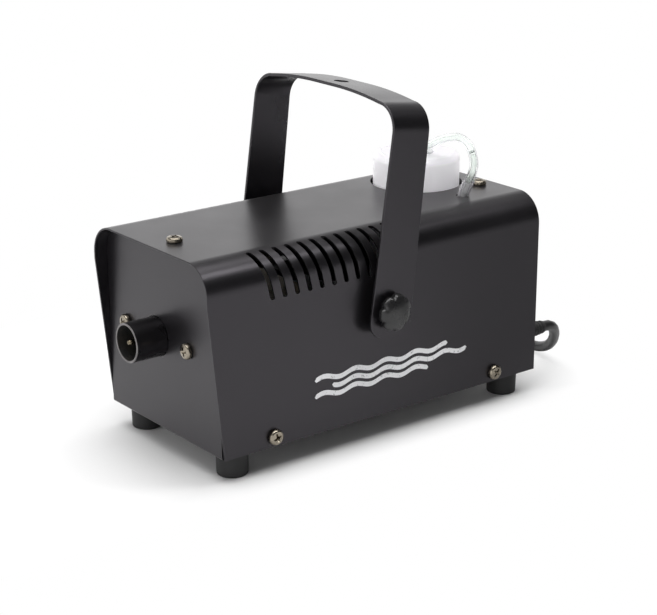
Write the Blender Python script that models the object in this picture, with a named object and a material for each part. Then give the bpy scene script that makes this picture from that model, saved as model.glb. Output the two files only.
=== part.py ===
"""Fog machine: folded steel case, nozzle, strip handle, fluid bottle, pump, heater and mains cord.

Metres, +Z up. The machine stands on Z = 0 with its nozzle towards -Y and its length along Y.
"""

import math

import bmesh
import bpy
from mathutils import Matrix, Vector

# Case
COVER_HALF_WIDTH = 0.055
COVER_FRONT = -0.111
COVER_REAR = 0.119
COVER_TOP = 0.120
COVER_BOTTOM = 0.0143
SHOULDER_RADIUS = 0.0166
SHEET = 0.001
VISOR_SETBACK = 0.0086
VISOR_SLANT_TOP = 0.0995
FRONT_PANEL = -0.1034
REAR_PANEL = 0.1175
FLANGE_DEPTH = 0.014
FLANGE_HEIGHT = 0.013
GAP = 0.0003

# Louvre slots over each shoulder
SLOT_COUNT = 12
SLOT_PITCH = 0.00807
SLOT_WIDTH = 0.0031
SLOT_FIRST = -0.0775
SLOT_LEAN = 0.0072
SLOT_START_ANGLE = 12.5
SLOT_END_Z = 0.0958

# Nozzle
NOZZLE_X = -0.0055
NOZZLE_Z = 0.0667
NOZZLE_RIM = -0.1224
NOZZLE_RADIUS = 0.0109
NOZZLE_BORE = 0.0096
NOZZLE_SCREW_REACH = 0.030

# Screws
SCREW_HEAD_RADIUS = 0.0044
SCREW_HEAD_HEIGHT = 0.0029
SCREW_SHANK_RADIUS = 0.0017
SCREW_HOLE_RADIUS = 0.0021
SIDE_SCREW_Z = 0.020
SIDE_SCREW_Y = {"front": -0.0705, "rear": 0.0862}
TOP_SCREW_AT = {"front": (0.004, -0.0965), "rear": (0.015, 0.108)}

# Feet
FOOT_X = 0.042
FOOT_Y = {"front": -0.089, "rear": 0.105}
FOOT_RADIUS = 0.0091
FOOT_FLOOR_RADIUS = 0.0085
FOOT_POCKET_RADIUS = 0.0050
FOOT_POCKET_DEPTH = 0.0075

# Handle and its pivots
PIVOT_Y = 0.002
PIVOT_Z = 0.0769
HANDLE_LEAN = 7.2
HANDLE_INNER = 0.0609
HANDLE_SHEET = 0.0017
HANDLE_TOP = 0.1142
HANDLE_ARCH = 0.0030
HANDLE_CORNER = 0.0150
HANDLE_END = -0.0150
HANDLE_END_RADIUS = 0.0090
HANDLE_OFFSET = 0.0012
HANDLE_WIDTH_TOP = 0.0246
HANDLE_WIDTH_PIVOT = 0.0281
HANG_HOLE_RADIUS = 0.0042
HANDLE_FLAT = 0.009
STUD_RADIUS = 0.0029
STUD_CLEARANCE = 0.0033
WASHER_RADIUS = 0.0062
WASHER_SHEET = 0.0008
KNOB_RADIUS = 0.0116
KNOB_DEPTH = 0.0070
KNOB_LOBES = 6

# Fluid bottle, cap and hose
TANK_X = -0.014
TANK_Y = 0.0845
TANK_RADIUS = 0.0272
TANK_WALL = 0.0016
TANK_BOTTOM = COVER_BOTTOM + SHEET + GAP
NECK_RADIUS = 0.0212
NECK_TOP = 0.1310
CAP_RADIUS = 0.0254
CAP_TOP = 0.1380
CAP_BOTTOM = 0.1125
CAP_HOLE_RADIUS = 0.0270
GROMMET_RADIUS = 0.0096
HOSE_RADIUS = 0.0024
SLEEVE_RADIUS = 0.0033
HOSE_EXIT = (0.0272, 0.0842, 0.1195)

# Pump
PUMP_X = 0.034
PUMP_Z = 0.038
PUMP_FRONT = 0.022
PUMP_REAR = 0.054
PUMP_BORE = 0.0050
PLUNGER_RADIUS = 0.0042

# Heater
HEATER_FRONT = -0.0900
HEATER_REAR = -0.0060
HEATER_HALF_WIDTH = 0.0210
HEATER_HALF_HEIGHT = 0.0160
JACKET_WALL = 0.0050
CARTRIDGE_RADIUS = 0.0050
CARTRIDGE_DROP = 0.0080

# Rear panel fittings
REAR_FITTING_X = 0.038
ROCKER_Z = 0.084
SOCKET_Z = 0.056
CORD_EXIT_X = 0.040
CORD_EXIT_Z = 0.032

# Mains cord
CORD_RADIUS = 0.0032
RELIEF_LENGTH = 0.0220
COIL_CENTRE = (-0.1044, 0.1224)
COIL_INNER = 0.0222
COIL_OUTER = 0.0478
COIL_HEIGHT = 0.0126

MATERIALS = {
    "black_coat": ((0.035, 0.034, 0.036), 0.55, 0.0),
    "handle_coat": ((0.030, 0.029, 0.031), 0.50, 0.0),
    "nozzle_coat": ((0.018, 0.018, 0.019), 0.35, 0.0),
    "zinc_steel": ((0.62, 0.60, 0.56), 0.32, 1.0),
    "nickel_screw": ((0.66, 0.61, 0.52), 0.28, 1.0),
    "cast_aluminium": ((0.66, 0.67, 0.68), 0.45, 1.0),
    "brass": ((0.74, 0.56, 0.24), 0.30, 1.0),
    "glass_cloth": ((0.82, 0.79, 0.70), 0.95, 0.0),
    "black_plastic": ((0.025, 0.025, 0.027), 0.35, 0.0),
    "rocker_plastic": ((0.45, 0.02, 0.02), 0.30, 0.0),
    "white_plastic": ((0.84, 0.83, 0.86), 0.45, 0.0),
    "tank_plastic": ((0.80, 0.81, 0.82), 0.45, 0.0),
    "clear_hose": ((0.80, 0.86, 0.84), 0.15, 0.0),
    "silicone": ((0.75, 0.76, 0.77), 0.50, 0.0),
    "rubber": ((0.020, 0.020, 0.021), 0.80, 0.0),
    "cord_jacket": ((0.016, 0.016, 0.017), 0.50, 0.0),
    "circuit_green": ((0.02, 0.16, 0.07), 0.40, 0.0),
    "coil_winding": ((0.45, 0.17, 0.06), 0.40, 0.4),
}
AXES = {"X": 0, "Y": 1, "Z": 2}


# ---------------------------------------------------------------- general helpers

def clear_scene():
    """Remove what the new file starts with."""
    for obj in list(bpy.data.objects):
        bpy.data.objects.remove(obj, do_unlink=True)


def material(name):
    """A Principled material with this finish's colour, roughness and metallic value."""
    if name in bpy.data.materials:
        return bpy.data.materials[name]
    colour, roughness, metallic = MATERIALS[name]
    made = bpy.data.materials.new(name)
    made.use_nodes = True
    shader = made.node_tree.nodes["Principled BSDF"]
    shader.inputs["Base Color"].default_value = (*colour, 1.0)
    shader.inputs["Roughness"].default_value = roughness
    shader.inputs["Metallic"].default_value = metallic
    made.diffuse_color = (*colour, 1.0)
    return made


def make(name, bm, finish, at=(0, 0, 0)):
    """Turn a bmesh into a named object with its finish."""
    bmesh.ops.recalc_face_normals(bm, faces=bm.faces)
    mesh = bpy.data.meshes.new(name)
    bm.to_mesh(mesh)
    bm.free()
    obj = bpy.data.objects.new(name, mesh)
    bpy.context.scene.collection.objects.link(obj)
    obj.location = at
    if finish:
        mesh.materials.append(material(finish))
    mesh.shade_smooth()
    mesh.set_sharp_from_angle(angle=math.radians(32))
    return obj


def cutter(name, bm):
    """A helper solid for a Boolean, shown as wire and left out of renders."""
    obj = make(name, bm, None)
    obj.hide_render = True
    obj.display_type = "WIRE"
    return obj


def boolean(obj, tool, operation="DIFFERENCE"):
    """Combine obj with a helper solid."""
    modifier = obj.modifiers.new(f"{operation.lower()} {tool.name}", "BOOLEAN")
    modifier.operation = operation
    modifier.solver = "EXACT"
    modifier.object = tool
    return obj


def add_loft(bm, rings, closed=False):
    """Join rings of points with quads; cap both ends unless the loft closes on itself."""
    loops = [[bm.verts.new(point) for point in ring] for ring in rings]
    count = len(loops[0])
    pairs = list(zip(loops, loops[1:]))
    if closed:
        pairs.append((loops[-1], loops[0]))
    for first, second in pairs:
        for i in range(count):
            j = (i + 1) % count
            bm.faces.new((first[i], first[j], second[j], second[i]))
    if not closed:
        bm.faces.new(loops[0])
        bm.faces.new(list(reversed(loops[-1])))


def add_prism(bm, outline, axis, low, high):
    """Extrude a flat outline, given in the two other axes, along axis."""
    index = AXES[axis]
    rings = []
    for level in (low, high):
        ring = []
        for a, b in outline:
            point = [a, b]
            point.insert(index, level)
            ring.append(point)
        rings.append(ring)
    add_loft(bm, rings)


def add_box(bm, low, high):
    """An axis-aligned box."""
    outline = [(low[0], low[1]), (high[0], low[1]), (high[0], high[1]), (low[0], high[1])]
    add_prism(bm, outline, "Z", low[2], high[2])


def add_turned(bm, profile, axis, centre, segments):
    """Turn a profile of (radius, height) points about axis; radius 0 makes a pole."""
    index = AXES[axis]
    first, second = [i for i in range(3) if i != index]
    loops = []
    for radius, height in profile:
        count = segments if radius > 0 else 1
        loop = []
        for k in range(count):
            angle = 2 * math.pi * k / segments
            point = list(centre)
            point[first] += radius * math.cos(angle)
            point[second] += radius * math.sin(angle)
            point[index] += height
            loop.append(bm.verts.new(point))
        loops.append(loop)
    pairs = list(zip(loops, loops[1:]))
    if profile[0][0] > 0:
        pairs.append((loops[-1], loops[0]))
    for inner, outer in pairs:
        for k in range(segments):
            j = (k + 1) % segments
            if len(inner) == 1:
                bm.faces.new((inner[0], outer[k], outer[j]))
            elif len(outer) == 1:
                bm.faces.new((inner[k], inner[j], outer[0]))
            else:
                bm.faces.new((inner[k], inner[j], outer[j], outer[k]))


def add_rod(bm, radius, axis, centre, low, high, segments=12):
    """A plain round rod from low to high along axis, measured from centre."""
    add_turned(bm, [(0, low), (radius, low), (radius, high), (0, high)], axis, centre, segments)


def turned(name, finish, profile, axis, centre, segments=16, at=(0, 0, 0)):
    """A turned object."""
    bm = bmesh.new()
    add_turned(bm, profile, axis, centre, segments)
    return make(name, bm, finish, at)


def boxed(name, finish, low, high, bevel=0.0):
    """A box-shaped object with an optional bevel."""
    bm = bmesh.new()
    add_box(bm, low, high)
    obj = make(name, bm, finish)
    if bevel:
        modifier = obj.modifiers.new("edges", "BEVEL")
        modifier.width = bevel
        modifier.segments = 1
    return obj


def smooth_route(points, spacing):
    """Points a steady distance apart along a smooth curve through the route's own points."""
    guide = [Vector(p) for p in points]
    guide = [2 * guide[0] - guide[1], *guide, 2 * guide[-1] - guide[-2]]
    fine = []
    steps = 24
    for a, b, c, d in zip(guide, guide[1:], guide[2:], guide[3:]):
        for k in range(steps):
            t = k / steps
            fine.append(0.5 * (2 * b + (c - a) * t + (2 * a - 5 * b + 4 * c - d) * t * t
                               + (3 * b - a - 3 * c + d) * t ** 3))
    fine.append(guide[-2])
    total = sum((q - p).length for p, q in zip(fine, fine[1:]))
    count = max(2, round(total / spacing))
    step = total / count
    out = [fine[0]]
    walked = 0.0
    for p, q in zip(fine, fine[1:]):
        length = (q - p).length
        while len(out) < count and walked + length >= step * len(out):
            out.append(p.lerp(q, (step * len(out) - walked) / length))
        walked += length
    out.append(fine[-1])
    return out


def pipe_rings(points, radius, segments=12):
    """Rings of points around a route that runs in or near a plane across Y."""
    rings = []
    for i, point in enumerate(points):
        before = points[max(0, i - 1)]
        after = points[min(len(points) - 1, i + 1)]
        along = (after - before).normalized()
        side = along.cross(Vector((0, 1, 0))).normalized()
        other = along.cross(side)
        angles = [2 * math.pi * k / segments for k in range(segments)]
        rings.append([point + radius * (math.cos(a) * side + math.sin(a) * other) for a in angles])
    return rings


def tube(name, finish, points, radius, resolution=2):
    """A round tube along a poly line, with filled ends."""
    curve = bpy.data.curves.new(name, "CURVE")
    curve.dimensions = "3D"
    curve.bevel_depth = radius
    curve.bevel_resolution = resolution
    curve.use_fill_caps = True
    spline = curve.splines.new("POLY")
    spline.points.add(len(points) - 1)
    for slot, point in zip(spline.points, points):
        slot.co = (*point, 1.0)
    obj = bpy.data.objects.new(name, curve)
    bpy.context.scene.collection.objects.link(obj)
    curve.materials.append(material(finish))
    return obj


# ---------------------------------------------------------------- case

def case_outline(inset, steps=7):
    """The case's cross-section, across X and up Z, drawn in by inset: an arch on two legs."""
    half = COVER_HALF_WIDTH - inset
    radius = SHOULDER_RADIUS - inset
    centre_x = COVER_HALF_WIDTH - SHOULDER_RADIUS
    centre_z = COVER_TOP - SHOULDER_RADIUS
    right = [(half, COVER_BOTTOM)]
    right.append((half, VISOR_SLANT_TOP))
    for k in range(steps + 1):
        angle = math.pi / 2 * k / steps
        right.append((centre_x + radius * math.cos(angle), centre_z + radius * math.sin(angle)))
    left = [(-x, z) for x, z in reversed(right)]
    return right + left


def visor_edge(z):
    """Where the cover's front edge stands at height z: upright above, slanting back below."""
    drop = max(0.0, VISOR_SLANT_TOP - z) / (VISOR_SLANT_TOP - COVER_BOTTOM)
    return COVER_FRONT + VISOR_SETBACK * drop


def shoulder_point(distance, offset):
    """A point (x, z) at a distance along the outside, from the shoulder's start, raised by offset."""
    centre_x = COVER_HALF_WIDTH - SHOULDER_RADIUS
    centre_z = COVER_TOP - SHOULDER_RADIUS
    arc = SHOULDER_RADIUS * math.pi / 2
    if distance > arc:
        return COVER_HALF_WIDTH + offset, centre_z - (distance - arc)
    angle = math.pi / 2 - distance / SHOULDER_RADIUS
    radius = SHOULDER_RADIUS + offset
    return centre_x + radius * math.cos(angle), centre_z + radius * math.sin(angle)


def add_slot(bm, side, start_y):
    """One louvre slot's cutter, wrapped over a shoulder and leaning back as it goes down."""
    begin = SHOULDER_RADIUS * math.radians(SLOT_START_ANGLE)
    end = SHOULDER_RADIUS * math.pi / 2 + (COVER_TOP - SHOULDER_RADIUS - SLOT_END_Z)
    reach = 0.0022
    rings = []
    stations = (0.0, 0.04, 0.22, 0.41, 0.59, 0.78, 0.96, 1.0)
    for t in stations:
        width = SLOT_WIDTH if 0.03 < t < 0.97 else SLOT_WIDTH * 0.45
        distance = begin + (end - begin) * t
        outer_x, outer_z = shoulder_point(distance, reach)
        inner_x, inner_z = shoulder_point(distance, -SHEET - reach)
        y = start_y + SLOT_LEAN * t
        rings.append([(side * outer_x, y - width / 2, outer_z), (side * outer_x, y + width / 2, outer_z),
                      (side * inner_x, y + width / 2, inner_z), (side * inner_x, y - width / 2, inner_z)])
    add_loft(bm, rings)


def build_cover():
    """Top and two sides folded from one sheet, with slots, screw holes, cap hole and hose hole."""
    bm = bmesh.new()
    outer = case_outline(0.0)
    inner = case_outline(SHEET)
    section = outer + list(reversed(inner))
    rings = []
    for front in (True, False):
        ring = []
        for x, z in section:
            ring.append((x, visor_edge(z) if front else COVER_REAR, z))
        rings.append(ring)
    add_loft(bm, rings)
    cover = make("cover", bm, "black_coat")

    bm = bmesh.new()
    for side in (1, -1):
        for k in range(SLOT_COUNT):
            add_slot(bm, side, SLOT_FIRST + SLOT_PITCH * k)
    boolean(cover, cutter("slot_cutter", bm))

    bm = bmesh.new()
    for x, y in TOP_SCREW_AT.values():
        add_rod(bm, SCREW_HOLE_RADIUS, "Z", (x, y, COVER_TOP), -0.004, 0.004)
    for y in SIDE_SCREW_Y.values():
        for side in (1, -1):
            centre = (side * COVER_HALF_WIDTH, y, SIDE_SCREW_Z)
            add_rod(bm, SCREW_HOLE_RADIUS, "X", centre, -0.004, 0.004)
    for side in (1, -1):
        centre = (side * COVER_HALF_WIDTH, PIVOT_Y, PIVOT_Z)
        add_rod(bm, STUD_CLEARANCE + 0.0012, "X", centre, -0.004, 0.004)
    add_rod(bm, CAP_HOLE_RADIUS, "Z", (TANK_X, TANK_Y, COVER_TOP), -0.004, 0.004, 32)
    add_rod(bm, SLEEVE_RADIUS + 0.0012, "Z", HOSE_EXIT, -0.004, 0.004)
    boolean(cover, cutter("cover_holes", bm))


def build_chassis():
    """Front panel, base and rear panel folded from one sheet, with flanges for the cover's screws."""
    bm = bmesh.new()
    base = COVER_BOTTOM
    top = COVER_TOP - SHEET - GAP
    front = FRONT_PANEL
    rear = REAR_PANEL
    outline = [
        (front, base), (rear, base), (rear, top), (rear - FLANGE_DEPTH, top),
        (rear - FLANGE_DEPTH, top - SHEET), (rear - SHEET, top - SHEET), (rear - SHEET, base + SHEET),
        (front + SHEET, base + SHEET), (front + SHEET, top - SHEET),
        (front + FLANGE_DEPTH, top - SHEET), (front + FLANGE_DEPTH, top), (front, top)]
    half = COVER_HALF_WIDTH - SHEET - GAP
    add_prism(bm, outline, "X", -half, half)
    chassis = make("chassis", bm, "black_coat")

    bm = bmesh.new()
    add_prism(bm, [(x, z if z > COVER_BOTTOM else z - 0.002) for x, z in case_outline(SHEET + GAP)],
              "Y", COVER_FRONT, COVER_REAR)
    boolean(chassis, cutter("case_envelope", bm), "INTERSECT")

    bm = bmesh.new()
    for side in (1, -1):
        low, high = sorted((side * half, side * (half - SHEET)))
        add_box(bm, (low, FRONT_PANEL + 0.016, base + SHEET / 2),
                (high, REAR_PANEL - 0.016, base + FLANGE_HEIGHT))
    boolean(chassis, cutter("side_flanges", bm), "UNION")

    bm = bmesh.new()
    panel = (NOZZLE_X, FRONT_PANEL, NOZZLE_Z)
    add_rod(bm, NOZZLE_RADIUS + 0.0004, "Y", panel, -0.004, 0.004, 24)
    for side in (1, -1):
        centre = (NOZZLE_X + side * NOZZLE_SCREW_REACH, FRONT_PANEL, NOZZLE_Z)
        add_rod(bm, SCREW_HOLE_RADIUS, "Y", centre, -0.004, 0.004)
        for y in FOOT_Y.values():
            add_rod(bm, SCREW_HOLE_RADIUS, "Z", (side * FOOT_X, y, COVER_BOTTOM), -0.004, 0.004)
        for y in SIDE_SCREW_Y.values():
            centre = (side * half, y, SIDE_SCREW_Z)
            add_rod(bm, SCREW_HOLE_RADIUS, "X", centre, -0.004, 0.004)
    for x, y in TOP_SCREW_AT.values():
        add_rod(bm, SCREW_HOLE_RADIUS, "Z", (x, y, COVER_TOP), -0.006, 0.004)
    add_rod(bm, CAP_HOLE_RADIUS, "Z", (TANK_X, TANK_Y, COVER_TOP), -0.006, 0.004, 32)
    add_rod(bm, CORD_RADIUS + 0.0014, "Y", (CORD_EXIT_X, REAR_PANEL, CORD_EXIT_Z), -0.004, 0.004)
    add_rod(bm, SOCKET_BARREL + GAP, "Y", (REAR_FITTING_X, REAR_PANEL, SOCKET_Z), -0.004, 0.004, 20)
    add_box(bm, (REAR_FITTING_X - SWITCH_HALF_WIDTH - GAP, REAR_PANEL - 0.004,
                 ROCKER_Z - SWITCH_HALF_HEIGHT - GAP),
            (REAR_FITTING_X + SWITCH_HALF_WIDTH + GAP, REAR_PANEL + 0.004,
             ROCKER_Z + SWITCH_HALF_HEIGHT + GAP))
    boolean(chassis, cutter("chassis_holes", bm))


def screw_profile(length):
    """A pan head standing on its seat at 0, with its shank below."""
    radius = SCREW_HEAD_RADIUS
    height = SCREW_HEAD_HEIGHT
    return [(0, -length), (SCREW_SHANK_RADIUS, -length), (SCREW_SHANK_RADIUS, 0), (radius, 0),
            (radius, height * 0.35), (radius * 0.80, height * 0.80), (radius * 0.40, height), (0, height)]


def screw(name, axis, outwards, seat, length=0.007):
    """A pan-head screw whose head stands outwards from seat along axis."""
    profile = [(radius, height * outwards) for radius, height in screw_profile(length)]
    turned(name, "nickel_screw", profile, axis, seat, 12)


def build_screws():
    """Cover, nozzle and foot screws."""
    for place, (x, y) in TOP_SCREW_AT.items():
        screw(f"top_screw_{place}", "Z", 1, (x, y, COVER_TOP + GAP))
    for place, y in SIDE_SCREW_Y.items():
        for side, label in ((1, "right"), (-1, "left")):
            seat = (side * (COVER_HALF_WIDTH + GAP), y, SIDE_SCREW_Z)
            screw(f"side_screw_{place}_{label}", "X", side, seat)
    for side, label in ((1, "right"), (-1, "left")):
        seat = (NOZZLE_X + side * NOZZLE_SCREW_REACH, FRONT_PANEL - GAP, NOZZLE_Z)
        screw(f"nozzle_screw_{label}", "Y", -1, seat, 0.006)


def build_feet():
    """Four round rubber feet, each held by a screw up its pocket."""
    top = COVER_BOTTOM - GAP
    hole = SCREW_HOLE_RADIUS
    profile = [(hole, FOOT_POCKET_DEPTH), (FOOT_POCKET_RADIUS, FOOT_POCKET_DEPTH),
               (FOOT_POCKET_RADIUS, 0), (FOOT_FLOOR_RADIUS - 0.0006, 0),
               (FOOT_FLOOR_RADIUS, 0.0006), (FOOT_RADIUS, top), (hole, top)]
    for place, y in FOOT_Y.items():
        for side, label in ((1, "right"), (-1, "left")):
            centre = (side * FOOT_X, y, 0)
            turned(f"foot_{place}_{label}", "rubber", profile, "Z", centre, 16)
            seat = (side * FOOT_X, y, FOOT_POCKET_DEPTH - GAP)
            screw(f"foot_screw_{place}_{label}", "Z", -1, seat, 0.012)


# ---------------------------------------------------------------- nozzle and heater

def build_nozzle():
    """Nozzle tube with its fixing plate behind the front panel, and the brass tip inside."""
    bm = bmesh.new()
    centre = (NOZZLE_X, 0, NOZZLE_Z)
    rear = FRONT_PANEL + SHEET + 0.0020
    profile = [(NOZZLE_BORE, NOZZLE_RIM), (NOZZLE_RADIUS - 0.0003, NOZZLE_RIM),
               (NOZZLE_RADIUS, NOZZLE_RIM + 0.0003), (NOZZLE_RADIUS, rear), (NOZZLE_BORE, rear)]
    add_turned(bm, profile, "Y", centre, 24)
    make("nozzle_tube", bm, "nozzle_coat")

    bm = bmesh.new()
    half = NOZZLE_SCREW_REACH + 0.006
    low = FRONT_PANEL + SHEET + GAP
    add_box(bm, (NOZZLE_X - half, low, NOZZLE_Z - 0.012), (NOZZLE_X + half, low + 0.0015, NOZZLE_Z + 0.012))
    plate = make("heater_front_plate", bm, "zinc_steel")
    bm = bmesh.new()
    add_rod(bm, NOZZLE_RADIUS + GAP, "Y", centre, low - 0.002, low + 0.003, 24)
    for side in (1, -1):
        hole = (NOZZLE_X + side * NOZZLE_SCREW_REACH, 0, NOZZLE_Z)
        add_rod(bm, SCREW_HOLE_RADIUS, "Y", hole, low - 0.002, low + 0.003)
    boolean(plate, cutter("plate_holes", bm))

    tip_front = NOZZLE_RIM + 0.0011
    collar = FRONT_PANEL - 0.0040
    tip_rear = HEATER_FRONT - GAP
    profile = [(0, tip_front + 0.0020), (0.0004, tip_front + 0.0018), (0.0004, tip_front),
               (0.0011, tip_front), (0.0017, tip_front + 0.0016), (0.0017, collar),
               (0.0034, collar + 0.0015), (0.0034, collar + 0.0075), (0.0052, collar + 0.0075),
               (0.0052, tip_rear), (0, tip_rear)]
    turned("nozzle_tip", "brass", profile, "Y", centre, 12)


def build_heater():
    """Cast block with its cartridge element, jacket, bracket, inlet fitting and thermostat."""
    centre = (NOZZLE_X, 0, NOZZLE_Z)
    low = (NOZZLE_X - HEATER_HALF_WIDTH, HEATER_FRONT, NOZZLE_Z - HEATER_HALF_HEIGHT)
    high = (NOZZLE_X + HEATER_HALF_WIDTH, HEATER_REAR, NOZZLE_Z + HEATER_HALF_HEIGHT)
    block = boxed("heater_block", "cast_aluminium", low, high)
    bore = (NOZZLE_X, 0, NOZZLE_Z - CARTRIDGE_DROP)
    bm = bmesh.new()
    add_rod(bm, CARTRIDGE_RADIUS + GAP, "Y", bore, HEATER_FRONT + 0.010, HEATER_REAR + 0.002, 14)
    boolean(block, cutter("cartridge_bore", bm))

    bm = bmesh.new()
    add_rod(bm, CARTRIDGE_RADIUS, "Y", bore, HEATER_FRONT + 0.0105, HEATER_REAR + 0.010, 14)
    make("cartridge_heater", bm, "zinc_steel")

    bm = bmesh.new()
    inner = [(NOZZLE_X + sx * (HEATER_HALF_WIDTH + GAP), NOZZLE_Z + sz * (HEATER_HALF_HEIGHT + GAP))
             for sx, sz in ((-1, -1), (1, -1), (1, 1), (-1, 1))]
    wall = JACKET_WALL
    outer = [(NOZZLE_X + sx * (HEATER_HALF_WIDTH + wall), NOZZLE_Z + sz * (HEATER_HALF_HEIGHT + wall))
             for sx, sz in ((-1, -1), (1, -1), (1, 1), (-1, 1))]
    start = HEATER_FRONT + 0.002
    end = HEATER_REAR - 0.022
    loops = ((outer, start), (outer, end), (inner, end), (inner, start))
    add_loft(bm, [[(x, y, z) for x, z in ring] for ring, y in loops], closed=True)
    make("heater_jacket", bm, "glass_cloth")

    bm = bmesh.new()
    near = HEATER_REAR + GAP
    floor = COVER_BOTTOM + SHEET + GAP
    outline = [(near, floor), (near + 0.014, floor), (near + 0.014, floor + 0.0012),
               (near + 0.0012, floor + 0.0012), (near + 0.0012, NOZZLE_Z + 0.014), (near, NOZZLE_Z + 0.014)]
    add_prism(bm, outline, "X", NOZZLE_X - 0.018, NOZZLE_X + 0.018)
    bracket = make("heater_rear_bracket", bm, "zinc_steel")
    bm = bmesh.new()
    add_rod(bm, CARTRIDGE_RADIUS + 0.0010, "Y", bore, near - 0.002, near + 0.004, 14)
    inlet = (NOZZLE_X, 0, NOZZLE_Z + 0.005)
    add_rod(bm, 0.0040, "Y", inlet, near - 0.002, near + 0.004)
    boolean(bracket, cutter("bracket_holes", bm))

    profile = [(0, near), (0.0036, near), (0.0036, near + 0.006), (0.0018, near + 0.007),
               (0.0018, near + 0.014), (0, near + 0.014)]
    turned("heater_inlet_fitting", "brass", profile, "Y", inlet, 12)

    roof = NOZZLE_Z + HEATER_HALF_HEIGHT + GAP
    profile = [(0, 0), (0.0080, 0), (0.0080, 0.0060), (0.0045, 0.0070), (0.0045, 0.0110), (0, 0.0110)]
    turned("thermostat", "black_plastic", profile, "Z", (NOZZLE_X, HEATER_REAR - 0.011, roof), 14)


# ---------------------------------------------------------------- fluid system

def build_tank():
    """Hollow bottle with an open neck, the screw cap, seal, hose grommet, filter and clear hose."""
    centre = (TANK_X, TANK_Y, 0)
    wall = TANK_WALL
    profile = [(0, TANK_BOTTOM), (TANK_RADIUS - 0.002, TANK_BOTTOM), (TANK_RADIUS, TANK_BOTTOM + 0.002),
               (TANK_RADIUS, 0.098), (NECK_RADIUS, 0.106), (NECK_RADIUS, NECK_TOP),
               (NECK_RADIUS - wall, NECK_TOP), (NECK_RADIUS - wall, 0.1052),
               (TANK_RADIUS - wall, 0.0972), (TANK_RADIUS - wall, TANK_BOTTOM + 0.0035),
               (TANK_RADIUS - wall - 0.0018, TANK_BOTTOM + wall), (0, TANK_BOTTOM + wall)]
    turned("tank", "tank_plastic", profile, "Z", centre, 28)

    inner = CAP_RADIUS - 0.0020
    skin = 0.0022
    profile = [(GROMMET_RADIUS + GAP, CAP_TOP), (CAP_RADIUS - 0.0034, CAP_TOP),
               (CAP_RADIUS - 0.0010, CAP_TOP - 0.0010), (CAP_RADIUS, CAP_TOP - 0.0034),
               (CAP_RADIUS, CAP_BOTTOM), (inner, CAP_BOTTOM), (inner, CAP_TOP - skin),
               (GROMMET_RADIUS + GAP, CAP_TOP - skin)]
    turned("fluid_cap", "white_plastic", [(r, z - CAP_TOP) for r, z in profile], "Z",
           (0, 0, 0), 32, (TANK_X, TANK_Y, CAP_TOP))

    seat = NECK_TOP + GAP
    ring = [(GROMMET_RADIUS + 0.0008, seat), (inner - GAP, seat), (inner - GAP, CAP_TOP - skin - GAP),
            (GROMMET_RADIUS + 0.0008, CAP_TOP - skin - GAP)]
    turned("cap_seal", "silicone", ring, "Z", centre, 24)

    hose = hose_route()
    bm = bmesh.new()
    add_rod(bm, GROMMET_RADIUS, "Z", centre, NECK_TOP - 0.0030, CAP_TOP + 0.0006, 24)
    grommet = make("hose_grommet", bm, "silicone")
    bm = bmesh.new()
    near = [p for p in hose if p.x < 0.004 and 0.115 < p.z < 0.150]
    add_loft(bm, pipe_rings(near, HOSE_RADIUS + GAP))
    boolean(grommet, cutter("hose_channel", bm))

    start = Vector(FILTER_AT)
    profile = [(0, -0.005), (0.0046, -0.005), (0.0050, -0.004), (0.0050, 0.004), (0.0032, 0.006),
               (0, 0.006)]
    turned("pickup_filter", "brass", profile, "Z", start, 12)
    tube("fluid_hose", "clear_hose", hose, HOSE_RADIUS)


FILTER_AT = (-0.0270, 0.0840, 0.0275)
HOSE_GUIDE = (
    (-0.0270, 0.0840, 0.0338), (-0.0285, 0.0842, 0.0550), (-0.0285, 0.0844, 0.0850),
    (-0.0255, 0.0845, 0.1090), (-0.0190, 0.0845, 0.1280), (-0.0125, 0.0843, 0.1370),
    (-0.0070, 0.0841, 0.1412), (0.0004, 0.0840, 0.1452), (0.0075, 0.0840, 0.1487),
    (0.0160, 0.0840, 0.1517), (0.0235, 0.0840, 0.1530), (0.0305, 0.0840, 0.1510),
    (0.0350, 0.0840, 0.1460), (0.0365, 0.0840, 0.1400), (0.0348, 0.0840, 0.1338),
    (0.0310, 0.0841, 0.1268), (0.0276, 0.0842, 0.1190), (0.0262, 0.0838, 0.1050),
    (0.0268, 0.0840, 0.0850), (0.0290, 0.0835, 0.0650), (0.0320, 0.0805, 0.0500),
    (0.0338, 0.0745, 0.0405), (0.0340, 0.0662, 0.0381))
PRESSURE_GUIDE = (
    (0.0340, 0.0115, 0.0380), (0.0340, 0.0060, 0.0381), (0.0310, -0.0005, 0.0420),
    (0.0250, -0.0020, 0.0500), (0.0215, 0.0040, 0.0600), (0.0160, 0.0130, 0.0685),
    (0.0070, 0.0195, 0.0715), (-0.0025, 0.0190, 0.0720), (-0.0055, 0.0140, 0.0720),
    (-0.0055, 0.0088, 0.0720))


def hose_route():
    """The fluid hose from its filter, up through the cap, over and down to the pump."""
    return smooth_route(HOSE_GUIDE, 0.0052)


def build_sleeve():
    """Clear sleeve over the hose where it passes the cover."""
    bm = bmesh.new()
    route = [p for p in smooth_route(HOSE_GUIDE, 0.0021) if p.x > 0.02 and 0.113 < p.z < 0.131]
    outside = pipe_rings(route, SLEEVE_RADIUS)
    inside = pipe_rings(route, HOSE_RADIUS + GAP)
    add_loft(bm, outside + inside[::-1], closed=True)
    make("hose_sleeve", bm, "clear_hose")


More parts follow.
